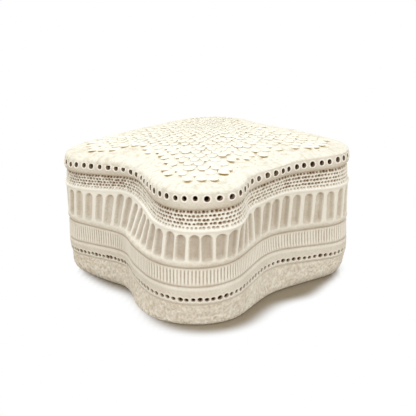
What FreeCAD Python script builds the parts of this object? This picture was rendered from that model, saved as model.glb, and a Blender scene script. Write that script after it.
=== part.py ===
import FreeCAD, Part
import math
import os

import Sketcher
from FreeCAD import Vector

# Vanity trinket box: a four-lobed, hand-built stoneware box with a loose lid.
#
# Frame: millimetres, +Z up, origin on the table under the middle of the box.  Two
# opposite lobes lie along X and the other two along Y.  The base is a floor slab with
# five courses of clay luted one on another round it; the lid is a rim course, a domed
# crown and a locating flange that drops inside the base.

doc = FreeCAD.newDocument("TrinketBox")

SIZES = (
    ("lobe_reach_x", 45.5, "arc centre of the two lobes on X, from the middle"),
    ("lobe_radius_x", 18.6, "radius of those lobes"),
    ("lobe_reach_y", 44.6, "arc centre of the two lobes on Y, from the middle"),
    ("lobe_radius_y", 21.6, "radius of those lobes"),
    ("waist_reach", 78.2, "arc centre of the hollow between two lobes, on the diagonal"),
    ("waist_radius", 32.9, "radius of that hollow"),
    ("wall", 5.2, "thickness of the base wall"),
    ("floor_thickness", 6.0, "thickness of the floor slab"),
    ("foot_top", 9.7, "height of the line over the foot"),
    ("pricked_top", 17.2, "height of the line over the pricked course"),
    ("reeded_top", 25.6, "height of the line over the reeds"),
    ("fluted_top", 43.9, "height of the lip over the flutes"),
    ("seam_height", 50.8, "height of the seam between base and lid"),
    ("rim_top", 54.2, "height where the lid's rim meets its crown"),
    ("crown_edge", 56.8, "height of the crown's corner over the lobes on Y, before it is rounded"),
    ("crown_apex", 63.0, "height of the crown at its highest"),
    ("crown_lean", 7.0, "how far the crown's highest point lies towards +X"),
    ("foot_round", 4.0, "radius under the foot"),
    ("foot_inset", 0.4, "how far the foot lies inside the outline"),
    ("lip_flare", 1.0, "how far the lip over the flutes stands out"),
    ("line_bevel", 0.5, "bevel of each course at an incised line"),
    ("rim_bulge", 0.4, "how far the lid's rim stands out"),
    ("crown_round", 1.7, "radius of the crown's edge"),
    ("flutes", 68, "number of niches in the fluted course"),
    ("flute_radius", 2.4, "radius of the gouge that cuts the niches"),
    ("flute_depth", 0.9, "how deep the gouge goes into the outline"),
    ("flute_drift", 2.2, "how far the niches drift from even spacing"),
    ("flute_ledge", 2.2, "height of the ledge under the niches"),
    ("flute_head", 1.9, "how far the niches' heads stay below the lip"),
    ("flange_gap", 0.6, "room between the lid's flange and the base wall"),
    ("flange_thickness", 2.8, "thickness of the flange"),
    ("flange_drop", 4.5, "how far the flange drops below the seam"),
)

sheet = doc.addObject("Spreadsheet::Sheet", "Sizes")
for row, (alias, value, meaning) in enumerate(SIZES, start=1):
    sheet.set(f"A{row}", str(value))
    sheet.setAlias(f"A{row}", alias)
    sheet.set(f"B{row}", meaning)
doc.recompute()

LOBES = 4


def size(expression):
    """The number that an expression over the sheet gives now."""
    return float(sheet.evalExpression(expression))


def origin_plane(body, role):
    """One of a body's own origin planes, found by its role."""
    return next(item for item in body.Origin.OriginFeatures if item.Role == role)


def quarter(index):
    """Names of one lobe's size cells and the direction that the lobe points in."""
    axis = "xy"[index % 2]
    return f"Sizes.lobe_reach_{axis}", f"Sizes.lobe_radius_{axis}", index * math.pi / 2


def tangent_turn(lobe, lobe_radius, waist, waist_radius):
    """Directions from a lobe to a waist, and half the angle between their tangents."""
    apart = waist - lobe
    return math.atan2(apart.y, apart.x), math.acos((lobe_radius + waist_radius) / apart.Length)


def outline(body, name, height, offset):
    """Add the four-lobed outline to a body, at a height and an offset outwards.

    Each lobe is an arc, each waist between two lobes is an arc that bends the other way,
    and a straight run joins them, tangent to both.  Height and offset are expressions.
    """
    sketch = body.newObject("Sketcher::SketchObject", name)
    sketch.AttachmentSupport = (origin_plane(body, "XY_Plane"), [""])
    sketch.MapMode = "FlatFace"
    sketch.setExpression("AttachmentOffset.Base.z", height)

    grow = size(offset)
    waist_side = size("Sizes.waist_reach") * math.sqrt(0.5)
    waist_radius = size("Sizes.waist_radius") - grow
    up = Vector(0, 0, 1)

    def lobe_circle(index):
        reach, radius, turn = quarter(index)
        centre = Vector(math.cos(turn), math.sin(turn), 0) * size(reach)
        return centre, size(radius) + grow

    def waist_centre(index):
        turn = (index + 0.5) * math.pi / 2
        return Vector(math.cos(turn), math.sin(turn), 0) * waist_side * math.sqrt(2)

    for index in range(LOBES):
        centre, radius = lobe_circle(index)
        following, following_radius = lobe_circle(index + 1)
        waist = waist_centre(index)
        ahead, half = tangent_turn(centre, radius, waist, waist_radius)
        leave = ahead - half
        behind, half = tangent_turn(centre, radius, waist_centre(index - 1), waist_radius)
        enter = behind + half
        ahead, half = tangent_turn(following, following_radius, waist, waist_radius)
        arrive = ahead + half
        if leave < enter:
            leave += 2 * math.pi
        lobe = Part.ArcOfCircle(Part.Circle(centre, up, radius), enter, leave)
        hollow = Part.ArcOfCircle(
            Part.Circle(waist, up, waist_radius), arrive + math.pi, leave + math.pi
        )
        sketch.addGeometry(lobe)
        sketch.addGeometry(Part.LineSegment(lobe.EndPoint, hollow.EndPoint))
        sketch.addGeometry(hollow)
        next_start = following + Vector(math.cos(arrive), math.sin(arrive), 0) * following_radius
        sketch.addGeometry(Part.LineSegment(hollow.StartPoint, next_start))

    start, end, middle = 1, 2, 3
    for index in range(LOBES):
        lobe, leaving, hollow, arriving = (4 * index + step for step in range(4))
        following = (4 * index + 4) % (4 * LOBES)
        sketch.addConstraint(Sketcher.Constraint("Tangent", lobe, end, leaving, start))
        sketch.addConstraint(Sketcher.Constraint("Tangent", leaving, end, hollow, end))
        sketch.addConstraint(Sketcher.Constraint("Tangent", hollow, start, arriving, start))
        sketch.addConstraint(Sketcher.Constraint("Tangent", arriving, end, following, start))

        reach, radius, turn = quarter(index)
        half_turn = turn + math.pi / 4
        signs = (round(math.cos(turn)), round(math.sin(turn)))
        corner = (math.copysign(1, math.cos(half_turn)), math.copysign(1, math.sin(half_turn)))
        places = (
            (lobe, "DistanceX", f"{signs[0]} * {reach}"),
            (lobe, "DistanceY", f"{signs[1]} * {reach}"),
            (hollow, "DistanceX", f"{corner[0]} * Sizes.waist_reach * sqrt(0.5)"),
            (hollow, "DistanceY", f"{corner[1]} * Sizes.waist_reach * sqrt(0.5)"),
        )
        for item, kind, place in places:
            added = sketch.addConstraint(
                Sketcher.Constraint(kind, -1, 1, item, middle, size(place))
            )
            sketch.setExpression(f"Constraints[{added}]", place)
        for item, length in (
            (lobe, f"{radius} + ({offset})"),
            (hollow, f"Sizes.waist_radius - ({offset})"),
        ):
            added = sketch.addConstraint(Sketcher.Constraint("Radius", item, size(length)))
            sketch.setExpression(f"Constraints[{added}]", length)
    doc.recompute()
    return sketch


def new_body(name):
    """A body that becomes one sub-part, labelled with the node's name."""
    body = doc.addObject("PartDesign::Body", name)
    body.Label = name
    return body


def pad(body, name, profile, length):
    """Pad a sketch upwards by an expression."""
    feature = body.newObject("PartDesign::Pad", name)
    feature.Profile = profile
    feature.setExpression("Length", length)
    doc.recompute()
    return feature


def loft(body, name, sections):
    """Loft straight from one outline to the next."""
    feature = body.newObject("PartDesign::AdditiveLoft", name)
    feature.Profile = sections[0]
    feature.Sections = sections[1:]
    feature.Ruled = True
    doc.recompute()
    return feature


def hollow_out(body, name, profile, length):
    """Pocket a sketch upwards and make sure that it took clay away."""
    before = body.Shape.Volume
    feature = body.newObject("PartDesign::Pocket", name)
    feature.Profile = profile
    feature.Reversed = True
    feature.setExpression("Length", length)
    doc.recompute()
    if not body.Shape.Volume < before:
        raise RuntimeError(f"{name} took nothing from {body.Label}")
    return feature


def rim_edges(feature, height):
    """Names of a feature's edges that lie at a height."""
    return [
        f"Edge{number}"
        for number, edge in enumerate(feature.Shape.Edges, start=1)
        if abs(edge.BoundBox.ZMin - height) < 1e-4 and abs(edge.BoundBox.ZMax - height) < 1e-4
    ]


def bevel(body, name, feature, heights):
    """Bevel the outer edges at the given heights, as the tool does at an incised line."""
    cut = body.newObject("PartDesign::Chamfer", name)
    edges = []
    for height in heights:
        edges += rim_edges(feature, size(height))
    cut.Base = (feature, edges)
    cut.setExpression("Size", "Sizes.line_bevel")
    doc.recompute()
    return cut


def round_edges(body, name, feature, edges, radius):
    """Round the named edges of a feature."""
    rounding = body.newObject("PartDesign::Fillet", name)
    rounding.Base = (feature, edges)
    rounding.setExpression("Radius", radius)
    doc.recompute()
    return rounding


WALL_INSIDE = "-Sizes.wall"


def floor_slab():
    """The slab of clay that the wall stands round."""
    body = new_body("floor_slab")
    plan = outline(body, "floor_plan", "0", WALL_INSIDE)
    pad(body, "floor_pad", plan, "Sizes.floor_thickness")
    return body


def foot_course():
    """The rough bottom course, which curves under to the table."""
    body = new_body("foot_course")
    plan = outline(body, "foot_plan", "0", "-Sizes.foot_inset")
    block = pad(body, "foot_pad", plan, "Sizes.foot_top")
    under = round_edges(
        body, "foot_rounding", block, rim_edges(block, 0.0), "Sizes.foot_round"
    )
    bevel(body, "foot_line", under, ["Sizes.foot_top"])
    inside = outline(body, "foot_inside", "0", WALL_INSIDE)
    hollow_out(body, "foot_hollow", inside, "Sizes.foot_top")
    return body


def plain_course(name, bottom, top):
    """An upright course of the wall with a bevel at the lines above and below it."""
    body = new_body(name)
    plan = outline(body, f"{name}_plan", bottom, "0")
    block = pad(body, f"{name}_pad", plan, f"{top} - {bottom}")
    bevel(body, f"{name}_lines", block, [bottom, top])
    inside = outline(body, f"{name}_inside", bottom, WALL_INSIDE)
    hollow_out(body, f"{name}_hollow", inside, f"{top} - {bottom}")
    return body


def flared_course(name, bottom, bottom_offset, top, top_offset):
    """A course whose outer face leans from one outline to another."""
    body = new_body(name)
    lower = outline(body, f"{name}_lower", bottom, bottom_offset)
    upper = outline(body, f"{name}_upper", top, top_offset)
    loft(body, f"{name}_loft", [lower, upper])
    inside = outline(body, f"{name}_inside", bottom, WALL_INSIDE)
    hollow_out(body, f"{name}_hollow", inside, f"{top} - {bottom}")
    return body


def round_the_box(sketch, distances):
    """Points on an outline and their outward directions, by distance from +X."""
    wire = sketch.Shape.Wires[0]
    steps = 4000
    ring = wire.discretize(Number=steps + 1)[:-1]
    start = max(range(steps), key=lambda number: (ring[number].x, -abs(ring[number].y)))
    turning = 1 if ring[(start + 10) % steps].y > ring[start].y else -1

    def on_ring(number):
        return ring[(start + turning * number) % steps]

    places = []
    for distance in distances:
        number = round(distance / wire.Length * steps)
        along = on_ring(number + 2) - on_ring(number - 2)
        places.append((on_ring(number), Vector(along.y, -along.x, 0).normalize()))
    return places


def cut_flutes(body):
    """Cut the niches of the fluted course with a round gouge, one beside another."""
    plan = next(item for item in body.Group if item.Name == "fluted_course_lower")
    count, drift = round(size("Sizes.flutes")), size("Sizes.flute_drift")
    pitch = plan.Shape.Wires[0].Length / count
    distances = [
        number * pitch + drift * math.sin(4 * math.pi * number / count) for number in range(count)
    ]
    stand = size("Sizes.flute_radius - Sizes.flute_depth")
    radius = size("Sizes.flute_radius")

    gouge = body.newObject("Sketcher::SketchObject", "flute_gouge")
    gouge.AttachmentSupport = (origin_plane(body, "XY_Plane"), [""])
    gouge.MapMode = "FlatFace"
    gouge.setExpression("AttachmentOffset.Base.z", "Sizes.reeded_top + Sizes.flute_ledge")
    for number, (place, outward) in enumerate(round_the_box(plan, distances)):
        centre = place + outward * stand
        centre.z = 0
        gouge.addGeometry(Part.Circle(centre, Vector(0, 0, 1), radius))
        gouge.addConstraint(Sketcher.Constraint("DistanceX", -1, 1, number, 3, centre.x))
        gouge.addConstraint(Sketcher.Constraint("DistanceY", -1, 1, number, 3, centre.y))
        if number:
            gouge.addConstraint(Sketcher.Constraint("Equal", 0, number))
    added = gouge.addConstraint(Sketcher.Constraint("Radius", 0, radius))
    gouge.setExpression(f"Constraints[{added}]", "Sizes.flute_radius")
    doc.recompute()
    hollow_out(
        body,
        "flute_niches",
        gouge,
        "Sizes.fluted_top - Sizes.flute_head - Sizes.reeded_top - Sizes.flute_ledge",
    )
    return body


def lid_rim():
    """The pierced course round the edge of the lid, bevelled at the seam."""
    body = new_body("lid_rim")
    plan = outline(body, "rim_plan", "Sizes.seam_height", "Sizes.rim_bulge")
    block = pad(body, "rim_pad", plan, "Sizes.rim_top - Sizes.seam_height")
    bevel(body, "rim_line", block, ["Sizes.seam_height"])
    inside = outline(
        body, "rim_inside", "Sizes.seam_height", "-Sizes.wall - Sizes.flange_gap"
    )
    hollow_out(body, "rim_hollow", inside, "Sizes.rim_top - Sizes.seam_height")
    return body


def lid_crown():
    """The domed top of the lid: a slab under part of a wide sphere, with a soft edge.

    The sphere's top lies off the middle, so the dome stands higher over +X.
    """
    body = new_body("lid_crown")
    plan = outline(body, "crown_plan", "Sizes.rim_top", "Sizes.rim_bulge")
    pad(body, "crown_pad", plan, "Sizes.crown_apex - Sizes.rim_top + 2")

    edge_reach = size("Sizes.lobe_reach_y + Sizes.lobe_radius_y + Sizes.rim_bulge")
    rise = size("Sizes.crown_apex - Sizes.crown_edge")
    radius = (edge_reach**2 + rise**2) / (2 * rise)
    centre = size("Sizes.crown_apex") - radius
    lean = math.asin(edge_reach / radius)
    beyond = lean * 1.15
    above = size("Sizes.crown_apex") + 4

    profile = body.newObject("Sketcher::SketchObject", "dome_profile")
    profile.AttachmentSupport = (origin_plane(body, "XZ_Plane"), [""])
    profile.MapMode = "FlatFace"
    profile.setExpression("AttachmentOffset.Base.x", "Sizes.crown_lean")
    circle = Part.Circle(Vector(0, centre, 0), Vector(0, 0, 1), radius)
    dome = Part.ArcOfCircle(circle, math.pi / 2 - beyond, math.pi / 2)
    apex = Vector(0, size("Sizes.crown_apex"), 0)
    outer = dome.StartPoint
    profile.addGeometry(dome)
    profile.addGeometry(Part.LineSegment(apex, Vector(0, above, 0)))
    profile.addGeometry(Part.LineSegment(Vector(0, above, 0), Vector(outer.x, above, 0)))
    profile.addGeometry(Part.LineSegment(Vector(outer.x, above, 0), outer))
    joined = ((0, 2, 1, 1), (1, 2, 2, 1), (2, 2, 3, 1), (3, 2, 0, 1))
    for item, end, other, start in joined:
        profile.addConstraint(Sketcher.Constraint("Coincident", item, end, other, start))
    profile.addConstraint(Sketcher.Constraint("PointOnObject", 0, 2, -2))
    profile.addConstraint(Sketcher.Constraint("PointOnObject", 0, 3, -2))
    profile.addConstraint(Sketcher.Constraint("Vertical", 1))
    profile.addConstraint(Sketcher.Constraint("Horizontal", 2))
    profile.addConstraint(Sketcher.Constraint("Vertical", 3))
    reach = "(Sizes.lobe_reach_y + Sizes.lobe_radius_y + Sizes.rim_bulge)"
    drop = "(Sizes.crown_apex - Sizes.crown_edge)"
    bound = (
        (Sketcher.Constraint("DistanceY", -1, 1, 0, 2, apex.y), "Sizes.crown_apex"),
        (
            Sketcher.Constraint("Radius", 0, radius),
            f"({reach} * {reach} + {drop} * {drop}) / (2 * {drop})",
        ),
        (Sketcher.Constraint("DistanceY", 1, 1, 1, 2, above - apex.y), "4"),
        (Sketcher.Constraint("DistanceX", 2, 1, 2, 2, outer.x), f"1.15 * {reach}"),
    )
    for constraint, expression in bound:
        added = profile.addConstraint(constraint)
        profile.setExpression(f"Constraints[{added}]", expression)
    doc.recompute()

    before = body.Shape.Volume
    groove = body.newObject("PartDesign::Groove", "crown_dome")
    groove.Profile = profile
    groove.ReferenceAxis = (profile, ["V_Axis"])
    groove.Angle = 360
    doc.recompute()
    if not body.Shape.Volume < before:
        raise RuntimeError("the dome took nothing from the crown")

    shape = groove.Shape
    top = []
    for number, edge in enumerate(shape.Edges, start=1):
        kinds = {face.Surface.TypeId for face in shape.ancestorsOfType(edge, Part.Face)}
        if "Part::GeomSphere" in kinds and len(kinds) > 1:
            top.append(f"Edge{number}")
    round_edges(body, "crown_rounding", groove, top, "Sizes.crown_round")
    return body


def lid_flange():
    """The ring inside the rim that drops into the base and keeps the lid in place."""
    body = new_body("lid_flange")
    bottom = "Sizes.seam_height - Sizes.flange_drop"
    length = "Sizes.rim_top - Sizes.seam_height + Sizes.flange_drop"
    outside = "-Sizes.wall - Sizes.flange_gap"
    plan = outline(body, "flange_plan", bottom, outside)
    pad(body, "flange_pad", plan, length)
    inside = outline(body, "flange_inside", bottom, f"{outside} - Sizes.flange_thickness")
    hollow_out(body, "flange_hollow", inside, length)
    return body


members = [
    floor_slab(),
    foot_course(),
    plain_course("pricked_course", "Sizes.foot_top", "Sizes.pricked_top"),
    plain_course("reeded_course", "Sizes.pricked_top", "Sizes.reeded_top"),
    cut_flutes(
        flared_course(
            "fluted_course", "Sizes.reeded_top", "0", "Sizes.fluted_top", "Sizes.lip_flare"
        )
    ),
    flared_course(
        "dimpled_course", "Sizes.fluted_top", "Sizes.lip_flare", "Sizes.seam_height", "0"
    ),
    lid_rim(),
    lid_crown(),
    lid_flange(),
]

doc.recompute()
for item in doc.Objects:
    if "Invalid" in item.State or "Error" in item.State:
        raise RuntimeError(f"{item.Label}: {item.State}")
for body in members:
    if body.Shape.isNull() or not body.Shape.isValid() or len(body.Shape.Solids) != 1:
        raise RuntimeError(f"{body.Label} is not one valid solid")

os.makedirs("parts", exist_ok=True)
for body in members:
    body.Shape.exportStep(f"parts/{body.Label}.step")
    box = body.Shape.BoundBox
    print(
        f"{body.Label:16s} {body.Shape.Volume / 1000:8.2f} cm3  "
        f"x {box.XMin:7.2f} {box.XMax:7.2f}  y {box.YMin:7.2f} {box.YMax:7.2f}  "
        f"z {box.ZMin:6.2f} {box.ZMax:6.2f}"
    )
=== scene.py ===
import logging
import math
from dataclasses import dataclass, field
from enum import Enum

import bpy
import numpy as np
from mathutils import Matrix, Vector


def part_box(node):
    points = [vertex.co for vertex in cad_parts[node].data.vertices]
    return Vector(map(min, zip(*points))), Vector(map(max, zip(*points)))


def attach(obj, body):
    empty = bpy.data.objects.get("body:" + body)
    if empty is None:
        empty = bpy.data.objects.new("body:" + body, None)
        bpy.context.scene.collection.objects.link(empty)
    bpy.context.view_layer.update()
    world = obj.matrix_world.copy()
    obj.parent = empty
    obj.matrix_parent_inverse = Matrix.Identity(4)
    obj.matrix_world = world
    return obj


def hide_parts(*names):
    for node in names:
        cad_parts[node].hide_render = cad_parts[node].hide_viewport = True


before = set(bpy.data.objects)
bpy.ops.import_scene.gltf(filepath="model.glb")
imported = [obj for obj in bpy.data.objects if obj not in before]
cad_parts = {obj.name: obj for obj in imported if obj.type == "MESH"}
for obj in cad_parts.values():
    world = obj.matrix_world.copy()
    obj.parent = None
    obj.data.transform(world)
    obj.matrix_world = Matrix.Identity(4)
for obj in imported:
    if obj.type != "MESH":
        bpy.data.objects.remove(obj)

LOG = logging.getLogger("trinket_box")
MM = 0.001
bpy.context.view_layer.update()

# Nearly black: painted shade at the bottom of the deepest marks, such as the blind holes, the pricks
# and the undercuts of the scales.
DEEP_PAINTED_SHADE = "#1E1206"
# How far apart the clay's faint clouds of shade are.
CLOUD_MM = 14.0


# ---------------------------------------------------------------------------
# Finishes
# ---------------------------------------------------------------------------


def linear(hex_colour: str) -> tuple[float, float, float, float]:
    """Turn an sRGB hex colour into linear values.

    Args:
        hex_colour: six hex digits after a hash.

    Returns:
        Red, green, blue and an alpha of 1.
    """
    channels = [int(hex_colour[i : i + 2], 16) / 255 for i in (1, 3, 5)]
    curve = [c / 12.92 if c <= 0.04045 else ((c + 0.055) / 1.055) ** 2.4 for c in channels]
    return (*curve, 1.0)


def add_node(
    tree: bpy.types.NodeTree,
    kind: str,
    settings: dict | None = None,
    links: dict | None = None,
) -> bpy.types.Node:
    """Add a shader node with its settings and its links.

    Args:
        tree: the node tree that gets the node.
        kind: the node's type, such as ShaderNodeMix.
        settings: attribute names, or input names or numbers, with their values.
        links: input names or numbers, with the sockets that feed them.

    Returns:
        The new node.
    """
    node = tree.nodes.new(kind)
    for key, value in (settings or {}).items():
        if isinstance(key, str) and hasattr(node, key):
            setattr(node, key, value)
        else:
            node.inputs[key].default_value = value
    for key, socket in (links or {}).items():
        tree.links.new(socket, node.inputs[key])
    return node


@dataclass(frozen=True)
class Stoneware:
    """Unglazed off-white stoneware: a matt, slightly porous body with fine grog in it.

    The eye gets a warm white, and a dry surface with no highlight of its own.  Clouds of
    `shade` and specks of `grog` lie over the `body`; then the colour follows the relief:
    ridges turn to the pale colour, as wear and painted highlight, and the tooled recesses to
    the brown one, as a thin iron wash and painted shade, near black in the deepest marks.
    """

    name: str
    slot: str
    body: str
    shade: str
    wash_and_shade: str
    wear_and_highlight: str
    grog: str
    grog_mm: float
    grain_mm: float
    grain_depth_mm: float
    grog_share: float
    roughness: float = 0.88

    def build(self) -> bpy.types.Material:
        """Make the material: noise, then colour over colour, then the shader.

        Returns:
            The material.
        """
        material = bpy.data.materials.new(self.name)
        material.use_nodes = True
        tree = material.node_tree
        tree.nodes.clear()
        place = add_node(tree, "ShaderNodeTexCoord").outputs["Object"]
        cloud, grog, grain = (
            add_node(
                tree,
                "ShaderNodeTexNoise",
                {"Scale": 1 / (cell_mm * MM), "Detail": detail, "Roughness": rough},
                {"Vector": place},
            ).outputs["Fac"]
            for cell_mm, detail, rough in (
                (CLOUD_MM, 3.0, 0.55),
                (self.grog_mm, 1.5, 0.6),
                (self.grain_mm, 4.0, 0.65),
            )
        )
        tone = add_node(tree, "ShaderNodeAttribute", {"attribute_name": "wash_and_shade"}).outputs["Fac"]
        # What each colour follows, where it starts and is full, how full, and the colour.
        layers = (
            (cloud, 0.35, 0.7, 1.0, self.shade),
            (grog, 0.46, 0.68, self.grog_share, self.grog),
            # The last three follow the mesh's wash-and-shade value: pale for wear and painted
            # highlight, brown for wash and painted shade, near black for deep painted shade.
            (tone, 0.0, -1.0, 1.0, self.wear_and_highlight),
            (tone, 0.0, 1.0, 1.0, self.wash_and_shade),
            (tone, 1.0, 2.0, 1.0, DEEP_PAINTED_SHADE),
        )
        settings, links = {6: linear(self.body)}, {}
        for source, low, high, most, over in layers:
            span = {"From Min": low, "From Max": high, "To Min": 0.0, "To Max": most}
            amount = add_node(tree, "ShaderNodeMapRange", span, {"Value": source})
            settings |= {"data_type": "RGBA", 7: linear(over)}
            links |= {0: amount.outputs["Result"]}
            colour = add_node(tree, "ShaderNodeMix", settings, links).outputs[2]
            settings, links = {}, {6: colour}
        bump = add_node(
            tree,
            "ShaderNodeBump",
            {"Strength": 1.0, "Distance": self.grain_depth_mm * MM},
            {"Height": grain},
        )
        rough = add_node(
            tree,
            "ShaderNodeMapRange",
            {"From Min": 0.3, "From Max": 0.7, "To Min": self.roughness - 0.06, "To Max": 0.96},
            {"Value": cloud},
        )
        shader = add_node(
            tree,
            "ShaderNodeBsdfPrincipled",
            {"Metallic": 0.0, "IOR": 1.5, "Specular IOR Level": 0.25},
            {
                "Base Color": colour,
                "Roughness": rough.outputs["Result"],
                "Normal": bump.outputs["Normal"],
            },
        )
        add_node(tree, "ShaderNodeOutputMaterial", links={"Surface": shader.outputs["BSDF"]})
        return material


# Clay that was tooled leather-hard: crisp ridges, painted paler as wear and painted highlight, and
# cuts painted brown as wash and painted shade.
CARVED = Stoneware(
    name="carved stoneware, unglazed",
    slot="carved_stoneware",
    body="#E4DED1",
    shade="#DAD2C3",
    wash_and_shade="#734A1C",
    wear_and_highlight="#FBF8EE",
    grog="#C6B595",
    grog_mm=0.9,
    grain_mm=0.6,
    grain_depth_mm=0.16,
    grog_share=0.3,
)
# Clay dabbed with a stiff brush: the grog stands up and the surface is gritty.
GROGGED = Stoneware(
    name="grogged stoneware, stippled",
    slot="grogged_stoneware",
    body="#E6DFD1",
    shade="#DED5C5",
    wash_and_shade="#8C6E42",
    wear_and_highlight="#F6F2E4",
    grog="#C4B493",
    grog_mm=1.0,
    grain_mm=0.9,
    grain_depth_mm=0.3,
    grog_share=0.4,
)
# The lid's top: the same grogged clay as the foot, painted paler, grog and all, as painted light on
# the top that faces the overhead lamp.
GROGGED_PAINTED_PALER = Stoneware(
    name="grogged stoneware, painted paler top",
    slot="grogged_stoneware",
    body="#F0EDE0",
    shade="#E8E5D7",
    wash_and_shade="#A5883A",
    wear_and_highlight="#FBF9EC",
    grog="#CEC7B2",
    grog_mm=1.5,
    grain_mm=1.1,
    grain_depth_mm=0.45,
    grog_share=0.4,
)
# Clay sponged smooth on the inside: soft, even and a little greyer.
SPONGED = Stoneware(
    name="sponged stoneware, plain",
    slot="smooth_stoneware",
    body="#E4DAC6",
    shade="#DACEB8",
    wash_and_shade="#94774A",
    wear_and_highlight="#F4EEDC",
    grog="#C8B896",
    grog_mm=0.8,
    grain_mm=0.9,
    grain_depth_mm=0.12,
    grog_share=0.25,
)


# ---------------------------------------------------------------------------
# Noise, plan and lines that every course shares
# ---------------------------------------------------------------------------


class Grain:
    """Smooth random relief that closes on itself round the box."""

    def __init__(self, seed: int, around_mm: float, cell_mm: float, height_mm: float) -> None:
        """Fill the lattice that the relief is read from.

        Args:
            seed: what makes one relief differ from another.
            around_mm: length after which the relief repeats.
            cell_mm: size of one lump.
            height_mm: largest value of the second coordinate.
        """
        self.columns = max(4, round(around_mm / cell_mm))
        self.rows = int(height_mm / cell_mm) + 4
        self.cell = around_mm / self.columns
        self.lattice = np.random.default_rng(seed).uniform(
            -1.0, 1.0, (self.rows, self.columns)
        )

    def __call__(self, along: np.ndarray, up: np.ndarray) -> np.ndarray:
        """Read the relief.

        Args:
            along: distance round the box in mm.
            up: distance across it in mm, from 0.

        Returns:
            Values from -1 to 1.
        """
        a = np.asarray(along) / self.cell
        b = np.clip(np.asarray(up) / self.cell + 1.0, 0.0, self.rows - 2.001)
        i, j = np.floor(a).astype(int), np.floor(b).astype(int)
        fa, fb = a - i, b - j
        fa, fb = fa * fa * (3 - 2 * fa), fb * fb * (3 - 2 * fb)
        left, right = i % self.columns, (i + 1) % self.columns
        low = self.lattice[j, left] * (1 - fa) + self.lattice[j, right] * fa
        high = self.lattice[j + 1, left] * (1 - fa) + self.lattice[j + 1, right] * fa
        return low * (1 - fb) + high * fb


def ease(
    low: float | np.ndarray, high: float | np.ndarray, value: np.ndarray
) -> np.ndarray:
    """Rise smoothly from 0 at low to 1 at high."""
    step = np.clip((value - low) / (high - low), 0.0, 1.0)
    return step * step * (3 - 2 * step)


def bead(distance: np.ndarray, width: float) -> np.ndarray:
    """A soft ridge of height 1 at distance 0."""
    return np.exp(-((distance / width) ** 2))


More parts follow.
